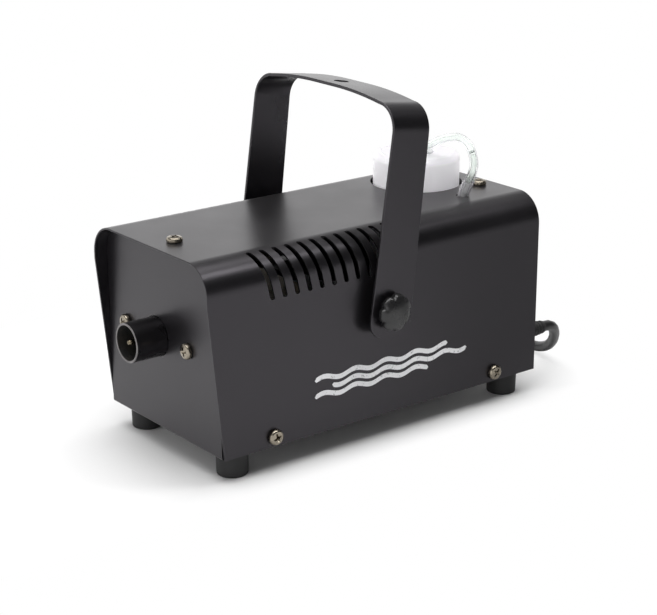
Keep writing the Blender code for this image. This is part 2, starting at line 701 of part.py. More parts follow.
def build_pump():
    """Solenoid pump: coil with a bore, steel yoke on two feet, sliding plunger, barbs and its hose."""
    centre = (PUMP_X, 0, PUMP_Z)
    middle = (PUMP_FRONT + PUMP_REAR) / 2
    half = 0.013
    coil = boxed("pump_coil", "coil_winding", (PUMP_X - half, PUMP_FRONT + 0.002, PUMP_Z - half),
                 (PUMP_X + half, PUMP_REAR - 0.002, PUMP_Z + half), 0.0012)
    bm = bmesh.new()
    add_rod(bm, PUMP_BORE, "Y", centre, PUMP_FRONT - 0.002, PUMP_REAR + 0.002, 14)
    boolean(coil, cutter("pump_bore", bm))

    bm = bmesh.new()
    reach = half + 0.0005
    sheet = 0.0012
    low = PUMP_FRONT
    high = PUMP_REAR
    top = PUMP_Z + reach
    floor = COVER_BOTTOM + SHEET + GAP
    foot = 0.007
    outline = [(low - foot, floor), (low + sheet, floor), (low + sheet, top), (high - sheet, top),
               (high - sheet, floor), (high + foot, floor), (high + foot, floor + sheet),
               (high, floor + sheet), (high, top + sheet), (low, top + sheet), (low, floor + sheet),
               (low - foot, floor + sheet)]
    add_prism(bm, outline, "X", PUMP_X - 0.010, PUMP_X + 0.010)
    yoke = make("pump_yoke", bm, "zinc_steel")
    bm = bmesh.new()
    add_rod(bm, PUMP_BORE, "Y", centre, PUMP_FRONT - 0.003, PUMP_REAR + 0.003, 14)
    boolean(yoke, cutter("yoke_bore", bm))

    bm = bmesh.new()
    add_rod(bm, PLUNGER_RADIUS, "Y", (0, 0, 0), -0.009, 0.009, 12)
    make("pump_plunger", bm, "zinc_steel", (PUMP_X, middle, PUMP_Z))

    outlet = [(0, 0.0120), (0.0019, 0.0120), (0.0019, 0.0165), (0.0062, 0.0170), (0.0062, 0.0214),
              (0, 0.0214)]
    turned("pump_outlet", "brass", outlet, "Y", centre, 12)
    inlet = [(0, 0.0546), (0.0062, 0.0546), (0.0062, 0.0595), (0.0019, 0.0600), (0.0019, 0.0650),
             (0, 0.0650)]
    turned("pump_inlet", "black_plastic", inlet, "Y", centre, 12)

    tube("pressure_hose", "silicone", smooth_route(PRESSURE_GUIDE, 0.0052), HOSE_RADIUS - 0.0002)


# ---------------------------------------------------------------- electrics

SWITCH_HALF_WIDTH = 0.0062
SWITCH_HALF_HEIGHT = 0.0092
SOCKET_BARREL = 0.0070


def build_switch():
    """Rocker switch: a hollow housing with its bezel outside, and the rocker on its pivot."""
    x = REAR_FITTING_X
    z = ROCKER_Z
    face = REAR_PANEL + GAP
    wide = SWITCH_HALF_WIDTH
    tall = SWITCH_HALF_HEIGHT

    def ring(half_width, half_height, y):
        return [(x + sx * half_width, y, z + sz * half_height)
                for sx, sz in ((-1, -1), (1, -1), (1, 1), (-1, 1))]

    bm = bmesh.new()
    depth = face - 0.016
    rings = [ring(wide, tall, depth), ring(wide, tall, face), ring(wide + 0.0014, tall + 0.0014, face),
             ring(wide + 0.0014, tall + 0.0014, face + 0.0012), ring(wide + 0.0008, tall + 0.0008, face + 0.0018),
             ring(wide - 0.0014, tall - 0.0014, face + 0.0018), ring(wide - 0.0014, tall - 0.0014, face - 0.008)]
    add_loft(bm, rings)
    make("switch_housing", bm, "black_plastic")

    bm = bmesh.new()
    half_width = wide - 0.0014 - GAP
    half_height = tall - 0.0014 - 0.0005
    tip = math.radians(9)
    outline = [(-0.0040, -half_height * 0.72), (0.0010, -half_height), (0.0032, -half_height * 0.92),
               (0.0022, 0.0), (0.0032, half_height * 0.92), (0.0010, half_height),
               (-0.0040, half_height * 0.72)]
    turn = Matrix.Rotation(tip, 2)
    outline = [tuple(turn @ Vector(point)) for point in outline]
    add_prism(bm, outline, "X", -half_width, half_width)
    make("power_rocker", bm, "rocker_plastic", (x, face - 0.0006, z))


def build_rear_fittings():
    """Remote socket with its cavity and pins, strain relief, terminal block and circuit board."""
    bm = bmesh.new()
    centre = (REAR_FITTING_X, REAR_PANEL, SOCKET_Z)
    profile = [(0, -0.010), (SOCKET_BARREL, -0.010), (SOCKET_BARREL, GAP), (0.0092, GAP),
               (0.0092, 0.0020), (0.0078, 0.0026), (0.0078, 0.0049), (0.0060, 0.0049),
               (0.0060, -0.0060), (0, -0.0060)]
    add_turned(bm, profile, "Y", centre, 20)
    make("remote_socket", bm, "black_plastic")

    bm = bmesh.new()
    exit_at = (CORD_EXIT_X, REAR_PANEL, CORD_EXIT_Z)
    profile = [(0, -0.006), (CORD_RADIUS + 0.0010, -0.006), (CORD_RADIUS + 0.0010, GAP), (0.0068, GAP),
               (0.0068, 0.0028), (0.0050, 0.0036), (0.0042, 0.0100), (0.0036, RELIEF_LENGTH), (0, RELIEF_LENGTH)]
    add_turned(bm, profile, "Y", exit_at, 14)
    make("strain_relief", bm, "rubber")

    bm = bmesh.new()
    wall = COVER_HALF_WIDTH - SHEET - 0.006
    add_box(bm, (wall - 0.0016, 0.010, 0.066), (wall, 0.070, 0.108))
    board = make("circuit_board", bm, "circuit_green")
    bm = bmesh.new()
    skin = wall - 0.0012
    add_box(bm, (wall - 0.0160, 0.014, 0.072), (skin, 0.032, 0.088))
    add_rod(bm, 0.0050, "X", (0, 0.046, 0.082), wall - 0.0140, skin, 12)
    add_box(bm, (wall - 0.0060, 0.034, 0.092), (skin, 0.060, 0.102))
    boolean(board, cutter("board_parts", bm), "UNION")

    floor = COVER_BOTTOM + SHEET + GAP
    boxed("terminal_block", "white_plastic", (0.026, 0.076, floor), (0.046, 0.092, floor + 0.011), 0.0006)


CORD_GUIDE = (
    (0.0400, 0.1399, 0.0320), (0.0400, 0.1440, 0.0319), (0.0385, 0.1500, 0.0290), (0.0340, 0.1562, 0.0225),
    (0.0275, 0.1615, 0.0150), (0.0195, 0.1652, 0.0085), (0.0100, 0.1672, 0.0046), (0.0000, 0.1678, 0.0034),
    (-0.0180, 0.1680, 0.0034), (-0.0400, 0.1678, 0.0034), (-0.0600, 0.1673, 0.0034), (-0.0800, 0.1670, 0.0034))
PLUG_AT = (-0.1442, 0.0905, 0.0095)


def build_cord():
    """Mains cord along the floor, its coil and the moulded plug at the coil's end."""
    tube("mains_cord", "cord_jacket", smooth_route(CORD_GUIDE, 0.0050), CORD_RADIUS)
    low = 0.0002
    edge = 0.0025
    profile = [(COIL_INNER + edge, low), (COIL_OUTER - edge, low), (COIL_OUTER, low + edge),
               (COIL_OUTER, COIL_HEIGHT / 2), (COIL_OUTER - 0.0035, COIL_HEIGHT),
               (COIL_INNER + 0.0035, COIL_HEIGHT), (COIL_INNER, COIL_HEIGHT / 2), (COIL_INNER, low + edge)]
    turned("cord_coil", "cord_jacket", profile, "Z", (*COIL_CENTRE, 0), 24)

    bm = bmesh.new()
    x, y, z = PLUG_AT
    sections = ((0.0003, 0.0036, 0.0036), (0.0120, 0.0048, 0.0048), (0.0150, 0.0085, 0.0070),
                (0.0210, 0.0118, 0.0088), (0.0370, 0.0122, 0.0092), (0.0385, 0.0112, 0.0084))
    rings = []
    for back, half_width, half_height in sections:
        ring = []
        for k in range(12):
            angle = 2 * math.pi * k / 12
            squareness = 0.6
            cos = math.copysign(abs(math.cos(angle)) ** squareness, math.cos(angle))
            sin = math.copysign(abs(math.sin(angle)) ** squareness, math.sin(angle))
            ring.append((x + half_width * cos, y - back, z + half_height * sin))
        rings.append(ring)
    add_loft(bm, rings)
    plug = make("mains_plug", bm, "cord_jacket")
    bm = bmesh.new()
    front = y - 0.0375
    for side in (1, -1):
        centre_x = x + side * 0.0064
        add_box(bm, (centre_x - 0.0008, front - 0.0165, z - 0.0030), (centre_x + 0.0008, front, z + 0.0030))
    boolean(plug, cutter("plug_blades", bm), "UNION")


# ---------------------------------------------------------------- handle and knobs

def handle_sections():
    """Stations (x, z, outward normal, half width) along the strip, from one end to the other."""
    outer_x = HANDLE_INNER + HANDLE_SHEET
    corner = HANDLE_CORNER
    shoulder_z = HANDLE_TOP - HANDLE_ARCH - corner
    half = []
    top_half = HANDLE_WIDTH_TOP / 2
    pivot_half = HANDLE_WIDTH_PIVOT / 2
    for k in range(5):
        angle = math.pi / 2 * k / 4
        width = pivot_half - HANDLE_END_RADIUS * (1 - math.sin(angle))
        half.append((outer_x, HANDLE_END + HANDLE_END_RADIUS * (1 - math.cos(angle)), (1, 0), width))
    for t in (0.25, 0.5, 0.75, 1.0):
        z = HANDLE_END + HANDLE_END_RADIUS + (shoulder_z - HANDLE_END - HANDLE_END_RADIUS) * t
        half.append((outer_x, z, (1, 0), pivot_half + (top_half - pivot_half) * t))
    for k in range(1, 6):
        angle = math.pi / 2 * k / 5
        half.append((outer_x - corner + corner * math.cos(angle), shoulder_z + corner * math.sin(angle),
                     (math.cos(angle), math.sin(angle)), top_half))
    span = outer_x - corner
    for t in (0.66, 0.33, 0.0):
        x = HANDLE_FLAT + (span - HANDLE_FLAT) * t
        half.append((x, HANDLE_TOP - HANDLE_ARCH * t * t, (0, 1), top_half))
    half.append((0.0, HANDLE_TOP, (0, 1), top_half))
    return half + [(-x, z, (-n[0], n[1]), w) for x, z, n, w in reversed(half[:-1])]


def build_handle():
    """U-shaped steel strip, with a hanging hole in its crossbar and a stud hole in each leg."""
    bm = bmesh.new()
    rings = []
    for x, z, normal, half_width in handle_sections():
        inner_x = x - normal[0] * HANDLE_SHEET
        inner_z = z - normal[1] * HANDLE_SHEET
        rear = HANDLE_OFFSET + half_width
        front = HANDLE_OFFSET - half_width
        rings.append([(x, front, z), (x, rear, z), (inner_x, rear, inner_z), (inner_x, front, inner_z)])
    add_loft(bm, rings)
    handle = make("handle", bm, "handle_coat", (0, PIVOT_Y, PIVOT_Z))
    handle.rotation_euler.x = -math.radians(HANDLE_LEAN)
    bm = bmesh.new()
    add_rod(bm, HANG_HOLE_RADIUS, "Z", (0, HANDLE_OFFSET, HANDLE_TOP), -0.005, 0.005, 14)
    for side in (1, -1):
        add_rod(bm, STUD_CLEARANCE, "X", (side * HANDLE_INNER, 0, 0), -0.006, 0.006, 14)
    holes = cutter("handle_holes", bm)
    holes.location = handle.location
    holes.rotation_euler = handle.rotation_euler
    boolean(handle, holes)


def ring_profile(inner, outer, low, high):
    """A plain ring's profile."""
    return [(inner, low), (outer, low), (outer, high), (inner, high)]


def knob_outline(radius, lobes, per_lobe=4):
    """A lobed outline around the origin."""
    points = []
    count = lobes * per_lobe
    for k in range(count):
        angle = 2 * math.pi * k / count
        reach = radius * (0.93 + 0.07 * math.cos(lobes * angle))
        points.append((reach * math.cos(angle), reach * math.sin(angle)))
    return points


def build_knobs():
    """Each pivot's rivet nut, spacer bush, washer, threaded stud and lobed knob."""
    for side, label in ((1, "right"), (-1, "left")):
        centre = (0, PIVOT_Y, PIVOT_Z)

        def along(distance):
            return side * distance

        inner = COVER_HALF_WIDTH - SHEET
        bush = ring_profile(STUD_CLEARANCE, 0.0072, along(COVER_HALF_WIDTH + GAP), along(HANDLE_INNER - GAP))
        turned(f"spacer_bush_{label}", "black_plastic", bush, "X", centre, 16)
        nut = [(STUD_CLEARANCE, along(inner - 0.010)), (0.0043, along(inner - 0.010)),
               (0.0043, along(inner - 0.0005)), (0.0058, along(inner - 0.0005)),
               (0.0058, along(inner - GAP)), (0.0042, along(inner - GAP)),
               (0.0042, along(COVER_HALF_WIDTH + 0.0001)), (STUD_CLEARANCE, along(COVER_HALF_WIDTH + 0.0001))]
        turned(f"rivet_nut_{label}", "nickel_screw", nut, "X", centre, 14)

        outside = HANDLE_INNER + HANDLE_SHEET + GAP
        washer = ring_profile(STUD_CLEARANCE, WASHER_RADIUS, along(outside), along(outside + WASHER_SHEET))
        turned(f"washer_{label}", "nickel_screw", washer, "X", centre, 16)

        bm = bmesh.new()
        start = outside + WASHER_SHEET + GAP
        rings = []
        for depth, scale in ((0.0, 0.90), (0.0012, 1.0), (KNOB_DEPTH - 0.0024, 1.0), (KNOB_DEPTH, 0.80)):
            ring = [(along(start + depth), y * scale, z * scale)
                    for y, z in knob_outline(KNOB_RADIUS, KNOB_LOBES)]
            rings.append(ring)
        add_loft(bm, rings)
        knob = make(f"knob_{label}", bm, "black_plastic", (0, PIVOT_Y, PIVOT_Z))
        bm = bmesh.new()
        low, high = sorted((along(start - 0.002), along(start + 0.004)))
        add_rod(bm, STUD_RADIUS + GAP, "X", centre, low, high, 12)
        boolean(knob, cutter(f"stud_socket_{label}", bm))

        bm = bmesh.new()
        low, high = sorted((along(inner - 0.008), along(start + 0.0037)))
        add_rod(bm, STUD_RADIUS, "X", (0, 0, 0), low, high, 12)
        make(f"knob_stud_{label}", bm, "nickel_screw", (0, PIVOT_Y, PIVOT_Z))


def main():
    """Build every piece of the machine."""
    clear_scene()
    build_cover()
    build_chassis()
    build_screws()
    build_feet()
    build_nozzle()
    build_heater()
    build_tank()
    build_sleeve()
    build_pump()
    build_switch()
    build_rear_fittings()
    build_cord()
    build_handle()
    build_knobs()


main()
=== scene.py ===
"""Fog machine: its visible pieces, finishes and studio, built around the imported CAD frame.

Laid out as an add-on: each group of pieces has its own operator, listed in one sidebar panel.
Metres, +Z up, the nozzle towards -Y.
"""

import math

import bmesh
import bpy
from bpy.props import FloatProperty, FloatVectorProperty, PointerProperty
from mathutils import Matrix, Vector


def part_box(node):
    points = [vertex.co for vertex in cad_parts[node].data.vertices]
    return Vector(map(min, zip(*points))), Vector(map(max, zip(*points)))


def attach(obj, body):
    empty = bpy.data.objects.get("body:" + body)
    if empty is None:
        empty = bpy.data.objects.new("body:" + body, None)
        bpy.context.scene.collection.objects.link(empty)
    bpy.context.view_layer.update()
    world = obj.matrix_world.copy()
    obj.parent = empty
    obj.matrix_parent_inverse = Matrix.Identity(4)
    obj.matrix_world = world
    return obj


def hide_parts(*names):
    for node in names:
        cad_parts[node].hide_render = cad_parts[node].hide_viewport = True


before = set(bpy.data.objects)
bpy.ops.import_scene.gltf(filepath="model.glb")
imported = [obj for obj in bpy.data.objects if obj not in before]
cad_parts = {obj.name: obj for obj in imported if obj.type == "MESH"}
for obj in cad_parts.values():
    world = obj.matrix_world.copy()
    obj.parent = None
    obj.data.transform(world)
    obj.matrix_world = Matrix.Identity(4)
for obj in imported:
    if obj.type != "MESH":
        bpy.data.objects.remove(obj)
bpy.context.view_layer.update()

bl_info = {
    "name": "Fog machine",
    "version": (1, 0, 0),
    "blender": (4, 5, 0),
    "location": "View3D > Sidebar > Fog machine",
    "description": "Builds the visible pieces of a small fog machine around its CAD frame",
    "category": "Object",
}


# ---------------------------------------------------------------- places read from the frame

def middle(node):
    """The middle of a node's box."""
    low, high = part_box(node)
    return (low + high) / 2


COVER_LOW, COVER_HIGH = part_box("cover")
CHASSIS_LOW, CHASSIS_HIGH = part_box("chassis")
NOZZLE_LOW, NOZZLE_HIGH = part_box("nozzle_tube")
TIP_LOW, TIP_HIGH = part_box("nozzle_tip")
CAP_LOW, CAP_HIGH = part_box("fluid_cap")
SWITCH_LOW, SWITCH_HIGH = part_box("switch_housing")

HALF_WIDTH = COVER_HIGH.x
FRONT = COVER_LOW.y
REAR = COVER_HIGH.y
BOTTOM = COVER_LOW.z
TOP = COVER_HIGH.z
FRONT_PANEL = CHASSIS_LOW.y
REAR_PANEL = CHASSIS_HIGH.y

SHEET = 0.001
GAP = 0.0003
EDGE = 0.00022
FOLD = 0.0014
SHOULDER_RADIUS = 0.0166
VISOR_SETBACK = 0.0086
VISOR_SLANT_TOP = 0.0995
FLANGE_DEPTH = 0.014
FLANGE_HEIGHT = 0.013
FLANGE_END = 0.016

CUT = 0.004
DEEP_CUT = 0.006
SCREW_HOLE_RADIUS = 0.0021
CAP_HOLE_RADIUS = 0.0270
STUD_HOLE_RADIUS = 0.0045
CORD_HOLE_RADIUS = 0.0046
SOCKET_HOLE_RADIUS = 0.0073
SWITCH_HOLE_HALF = Vector((0.0065, 0.004, 0.0095))

SLOT_COUNT = 12
SLOT_PITCH = 0.00807
SLOT_WIDTH = 0.0031
SLOT_FIRST = -0.0775
SLOT_LEAN = 0.0072
SLOT_START_ANGLE = 12.5
SLOT_END_Z = 0.0958
SLOT_CUT = 0.0022
SLOT_END_ANGLES = (8, 30, 50, 70, 90)
SLOT_STEPS = 14

MARK_STROKES = ((-0.0437, 0.0500, 0.0450), (-0.0320, 0.0645, 0.0403), (-0.0437, 0.0360, 0.0356))
MARK_THICKNESS = 0.00006
MARK_BACK = 0.00001
MARK_HALF = 0.0014
MARK_THINNEST = 0.00008
MARK_WAVE = 0.0215
MARK_HEIGHT = 0.00115
MARK_STEPS = 90

COVER_SCREWS = {"top_screw_front": "Z", "top_screw_rear": "Z", "side_screw_front_right": "X",
                "side_screw_rear_right": "X", "side_screw_front_left": "X", "side_screw_rear_left": "X"}
SCREW_HEAD_RADIUS = 0.0044
SCREW_HEAD_HEIGHT = 0.0029
SCREW_SHANK_RADIUS = 0.0017
SCREW_PITCH = 0.0008
SCREW_LENGTHS = {"cover": 0.0070, "nozzle": 0.0060, "foot": 0.0120}

FOOT_RECESS_TOP = 0.0075
FOOT_RECESS_RADIUS = 0.0050
FOOT_TAPER = 0.0006
FOOT_ROUND = 0.0010

NOZZLE_WALL = 0.0013
NOZZLE_EASE = 0.00035

PIVOT = Vector((0.0, 0.002, 0.0769))
HANDLE_LEAN = 7.2
HANDLE_INNER = 0.0609
HANDLE_SHEET = 0.0017
HANDLE_EASE = 0.00028
HANDLE_TOP = 0.1142
HANDLE_ARCH = 0.0030
HANDLE_CORNER = 0.0150
HANDLE_END = -0.0150
HANDLE_END_RADIUS = 0.0090
HANDLE_OFFSET = 0.0012
HANDLE_WIDTH_TOP = 0.0246
HANDLE_WIDTH_PIVOT = 0.0281
HANDLE_FLAT = 0.009
HANG_HOLE_RADIUS = 0.0042
STUD_CLEARANCE = 0.0033
WASHER_EASE = 0.00015

KNOB_LOBES = 7
KNOB_NOTCH = 0.12
KNOB_STATIONS = (
    (0.00, 0.84, 0.6), (0.05, 0.92, 0.9), (0.12, 0.97, 1.0), (0.20, 1.0, 1.0), (0.38, 1.0, 1.0),
    (0.46, 0.990, 1.0), (0.53, 0.965, 0.95), (0.60, 0.925, 0.80), (0.66, 0.875, 0.58),
    (0.72, 0.81, 0.34), (0.78, 0.73, 0.16), (0.835, 0.64, 0.05), (0.88, 0.54, 0.0),
    (0.92, 0.44, 0.0), (0.95, 0.34, 0.0), (0.975, 0.23, 0.0), (0.99, 0.13, 0.0), (1.0, 0.04, 0.0))

CAP_BORE = 0.0099
CAP_SKIN = 0.0022
CAP_WALL = 0.0020
CAP_CORNER = 0.0040

HOSE_RADIUS = 0.0024
HOSE_BORE = 0.0015
HOSE_SPACING = 0.0011
SLEEVE_RADIUS = 0.0033
SLEEVE_LOW = 0.1165
SLEEVE_HIGH = 0.1302
FLUID_LEVEL = 0.1462
FLUID_GAP = 0.00004
MENISCUS = 0.0016
HOSE_EXIT = Vector((0.0272, 0.0842, 0.1195))
HOSE_GUIDE = (
    (-0.0270, 0.0840, 0.0338), (-0.0285, 0.0842, 0.0550), (-0.0285, 0.0844, 0.0850),
    (-0.0255, 0.0845, 0.1090), (-0.0190, 0.0845, 0.1280), (-0.0125, 0.0843, 0.1370),
    (-0.0070, 0.0841, 0.1412), (0.0004, 0.0840, 0.1452), (0.0075, 0.0840, 0.1487),
    (0.0160, 0.0840, 0.1517), (0.0235, 0.0840, 0.1530), (0.0305, 0.0840, 0.1510),
    (0.0350, 0.0840, 0.1460), (0.0365, 0.0840, 0.1400), (0.0348, 0.0840, 0.1338),
    (0.0310, 0.0841, 0.1268), (0.0276, 0.0842, 0.1190), (0.0262, 0.0838, 0.1050),
    (0.0268, 0.0840, 0.0850), (0.0290, 0.0835, 0.0650), (0.0320, 0.0805, 0.0500),
    (0.0338, 0.0745, 0.0405), (0.0340, 0.0662, 0.0381))

CORD_SPACING = 0.0045
CORD_GUIDE = (
    (0.0400, 0.1399, 0.0320), (0.0400, 0.1440, 0.0319), (0.0385, 0.1500, 0.0290),
    (0.0340, 0.1562, 0.0225), (0.0275, 0.1615, 0.0150), (0.0195, 0.1652, 0.0085),
    (0.0100, 0.1672, 0.0046), (0.0000, 0.1678, 0.0034), (-0.0180, 0.1680, 0.0034),
    (-0.0400, 0.1678, 0.0034), (-0.0600, 0.1673, 0.0034), (-0.0800, 0.1670, 0.0034))
COIL_CENTRE = middle("cord_coil")
COIL_OUTER_TURN = 0.0446
COIL_INNER_TURN = 0.0254
COIL_LOWER_TURNS = 3.0
COIL_UPPER_TURNS = 2.25
COIL_FLOOR_Z = 0.0034
COIL_UPPER_Z = 0.0095
COIL_CLIMB = 0.22
COIL_TURN_POINTS = 36
RELIEF_RIBS = 7
RELIEF_FIRST_RIB = 0.0036
PLUG_BACK = 0.0003
PLUG_LENGTH = 0.0385
PLUG_AT = Vector((-0.1442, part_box("mains_plug")[1].y + PLUG_BACK, 0.0095))
PLUG_SECTIONS = (
    (0.0003, 0.0035, 0.0035), (0.0020, 0.0041, 0.0041), (0.0044, 0.0037, 0.0037),
    (0.0052, 0.0043, 0.0043), (0.0074, 0.0040, 0.0040), (0.0082, 0.0046, 0.0046),
    (0.0104, 0.0044, 0.0044), (0.0116, 0.0050, 0.0048), (0.0132, 0.0068, 0.0060),
    (0.0150, 0.0088, 0.0071), (0.0180, 0.0106, 0.0081), (0.0215, 0.0116, 0.0087),
    (0.0245, 0.0113, 0.0085), (0.0255, 0.0118, 0.0089), (0.0265, 0.0114, 0.0086),
    (0.0275, 0.0119, 0.0090), (0.0285, 0.0115, 0.0087), (0.0295, 0.0120, 0.0091),
    (0.0305, 0.0116, 0.0088), (0.0320, 0.0121, 0.0091), (0.0372, 0.0122, 0.0092),
    (0.0382, 0.0119, 0.0089), (PLUG_LENGTH, 0.0112, 0.0083))

SWITCH_NECK = 0.0014
ROCKER_TIP = 9
ROCKER_FACE = 0.0026
SOCKET_BARREL = 0.0070
SOCKET_THREADS = 4
SOCKET_WELL = -0.0060

CAMERA_AT = (0.7485, -0.5716, 0.3807)
CAMERA_YAW = 52.239
CAMERA_PITCH = 18.668
CAMERA_ROLL = -0.126
CAMERA_SENSOR = 36.0
CAMERA_LENS = 96.202

FLOOR_SHADOW_CENTRE = (-0.056, -0.036, 0.0)
FLOOR_SHADOW_HALF = (0.110, 0.154, 0.0)
FLOOR_SHADOW_FADE = 0.075

FINE = 64
ROUTE_STEPS = 24
BLACK = (0.0, 0.0, 0.0, 1.0)
WHITE = (1.0, 1.0, 1.0, 1.0)


# ---------------------------------------------------------------- settings

def colour_setting(name, description, default):
    """A colour."""
    return FloatVectorProperty(name=name, description=description, default=default,
                               subtype="COLOR", size=3, min=0.0, max=1.0)


def length_setting(name, description, default, low, high):
    """A length."""
    return FloatProperty(name=name, description=description, default=default, min=low, max=high,
                         unit="LENGTH", subtype="DISTANCE")


def power_setting(name, description, default):
    """A light's power."""
    return FloatProperty(name=name, description=description, default=default, min=0.0, max=1000.0,
                         unit="POWER")


class FogCoatSettings(bpy.types.PropertyGroup):
    """The powder coat of the case and handle."""

    colour: colour_setting("Case coat", "Base colour of the case's powder coat", (0.0052, 0.0049, 0.0056))
    handle_colour: colour_setting("Handle coat", "Base colour of the handle's powder coat",
                                  (0.0048, 0.0045, 0.0052))
    roughness: FloatProperty(name="Coat roughness", description="How dull the powder coat is",
                             subtype="FACTOR", min=0.0, max=1.0, default=0.31)
    grain: length_setting("Coat grain", "Size of the powder coat's grain", 0.00055, 0.0001, 0.003)
    bump: length_setting("Coat relief", "Height of the powder coat's grain", 0.00003, 0.0, 0.0005)


class FogFittingSettings(bpy.types.PropertyGroup):
    """Colours of the metal and plastic fittings."""

    screw: colour_setting("Screws", "Colour of the plated screws", (0.31, 0.275, 0.22))
    brass: colour_setting("Brass", "Colour of the brass tip and fittings", (0.22, 0.185, 0.13))
    cap: colour_setting("Fluid cap", "Colour of the fluid bottle's cap", (0.93, 0.91, 0.95))
    rocker: colour_setting("Rocker", "Colour of the power rocker", (0.42, 0.016, 0.014))
    hose: colour_setting("Hose tint", "Tint of the clear hose", (0.955, 0.985, 0.965))


class FogCordSettings(bpy.types.PropertyGroup):
    """The mains cord."""

    diameter: length_setting("Cord diameter", "Outer diameter of the mains cord", 0.0064, 0.004, 0.010)


class FogStageSettings(bpy.types.PropertyGroup):
    """Floor and light."""

    floor: colour_setting("Floor", "Colour of the floor", (0.86, 0.86, 0.86))
    overhead: power_setting("Overhead light", "Power of the large light overhead", 62.0)
    rear: power_setting("Rear light", "Power of the soft light above the rear", 5.2)


class FogMachineSettings(bpy.types.PropertyGroup):
    """Everything a user would change."""

    coat: PointerProperty(type=FogCoatSettings)
    fittings: PointerProperty(type=FogFittingSettings)
    cord: PointerProperty(type=FogCordSettings)
    stage: PointerProperty(type=FogStageSettings)


def settings():
    """This scene's settings."""
    return bpy.context.scene.fog_machine


# ---------------------------------------------------------------- mesh helpers

def add_loft(bm, rings, closed=False):
    """Join rings of points with quads; cap both ends unless the loft closes on itself."""
    loops = [[bm.verts.new(point) for point in ring] for ring in rings]
    count = len(loops[0])
    pairs = list(zip(loops, loops[1:]))
    if closed:
        pairs.append((loops[-1], loops[0]))
    for first, second in pairs:
        for i in range(count):
            j = (i + 1) % count
            bm.faces.new((first[i], first[j], second[j], second[i]))
    if not closed:
        bm.faces.new(loops[0])
        bm.faces.new(list(reversed(loops[-1])))


def add_prism(bm, outline, axis, low, high):
    """Extrude a flat outline, given in the two other axes, along axis."""
    index = "XYZ".index(axis)
    rings = []
    for level in (low, high):
        ring = []
        for a, b in outline:
            point = [a, b]
            point.insert(index, level)
            ring.append(point)
        rings.append(ring)
    add_loft(bm, rings)


def add_box(bm, low, high):
    """An axis-aligned box."""
    outline = [(low[0], low[1]), (high[0], low[1]), (high[0], high[1]), (low[0], high[1])]
    add_prism(bm, outline, "Z", low[2], high[2])


def add_turned(bm, profile, axis, centre=(0, 0, 0), segments=FINE):
    """Turn a profile of (radius, height) points about axis; radius 0 makes a pole."""
    index = "XYZ".index(axis)
    first, second = [i for i in range(3) if i != index]
    loops = []
    for radius, height in profile:
        loop = []
        for k in range(segments if radius > 0 else 1):
            angle = 2 * math.pi * k / segments
            point = list(centre)
            point[first] += radius * math.cos(angle)
            point[second] += radius * math.sin(angle)
            point[index] += height
            loop.append(bm.verts.new(point))
        loops.append(loop)
    pairs = list(zip(loops, loops[1:]))
    if profile[0][0] > 0:
        pairs.append((loops[-1], loops[0]))
    for inner, outer in pairs:
        for k in range(segments):
            j = (k + 1) % segments
            if len(inner) == 1 and len(outer) == 1:
                continue
            if len(inner) == 1:
                bm.faces.new((inner[0], outer[k], outer[j]))
            elif len(outer) == 1:
                bm.faces.new((inner[k], inner[j], outer[0]))
            else:
                bm.faces.new((inner[k], inner[j], outer[j], outer[k]))


def add_holes(bm, holes):
    """Round cutters, each given as (radius, axis, centre, segments, depth below the surface)."""
    for radius, axis, centre, segments, depth in holes:
        profile = [(0, -depth), (radius, -depth), (radius, CUT), (0, CUT)]
        add_turned(bm, profile, axis, centre, segments)


def holes(*places):
    """A new mesh of round cutters."""
    bm = bmesh.new()
    add_holes(bm, places)
    return bm


def lofted(rings, closed=False):
    """A new mesh with one loft."""
    bm = bmesh.new()
    add_loft(bm, rings, closed)
    return bm


def turned(profile, axis, centre=(0, 0, 0), segments=FINE):
    """A new mesh with one turned solid."""
    bm = bmesh.new()
    add_turned(bm, profile, axis, centre, segments)
    return bm


def prism(outline, axis, low, high):
    """A new mesh with one prism."""
    bm = bmesh.new()
    add_prism(bm, outline, axis, low, high)
    return bm


def arc(centre, radius, start, end, steps):
    """Points (a, b) on an arc, angles in degrees."""
    points = []
    for k in range(steps + 1):
        angle = math.radians(start + (end - start) * k / steps)
        points.append((centre[0] + radius * math.cos(angle), centre[1] + radius * math.sin(angle)))
    return points


def rounded_box(low, high, radius, steps=4):
    """The outline of a rectangle with round corners."""
    points = []
    corners = ((high[0] - radius, high[1] - radius, 0), (low[0] + radius, high[1] - radius, 90),
               (low[0] + radius, low[1] + radius, 180), (high[0] - radius, low[1] + radius, 270))
    for x, y, start in corners:
        points += arc((x, y), radius, start, start + 90, steps)
    return points


def object_from(name, bm):
    """A scene object from a bmesh."""
    bmesh.ops.recalc_face_normals(bm, faces=bm.faces)
    mesh = bpy.data.meshes.new(name)
    bm.to_mesh(mesh)
    bm.free()
    return put(name, mesh)


def put(name, data):
    """A new object in the scene, holding data."""
    obj = bpy.data.objects.new(name, data)
    bpy.context.scene.collection.objects.link(obj)
    return obj


def combine(obj, bm, operation="DIFFERENCE"):
    """Cut, join or intersect obj with a helper solid, and keep the result as its mesh."""
    tool = object_from("helper", bm)
    modifier = obj.modifiers.new(operation.lower(), "BOOLEAN")
    modifier.operation = operation
    modifier.solver = "EXACT"
    modifier.object = tool
    settle(obj)
    bpy.data.objects.remove(tool, do_unlink=True)


def settle(obj):
    """Turn what the modifiers make into the object's own mesh."""
    shape = obj.evaluated_get(bpy.context.evaluated_depsgraph_get())
    mesh = bpy.data.meshes.new_from_object(shape)
    obj.modifiers.clear()
    obj.data = mesh


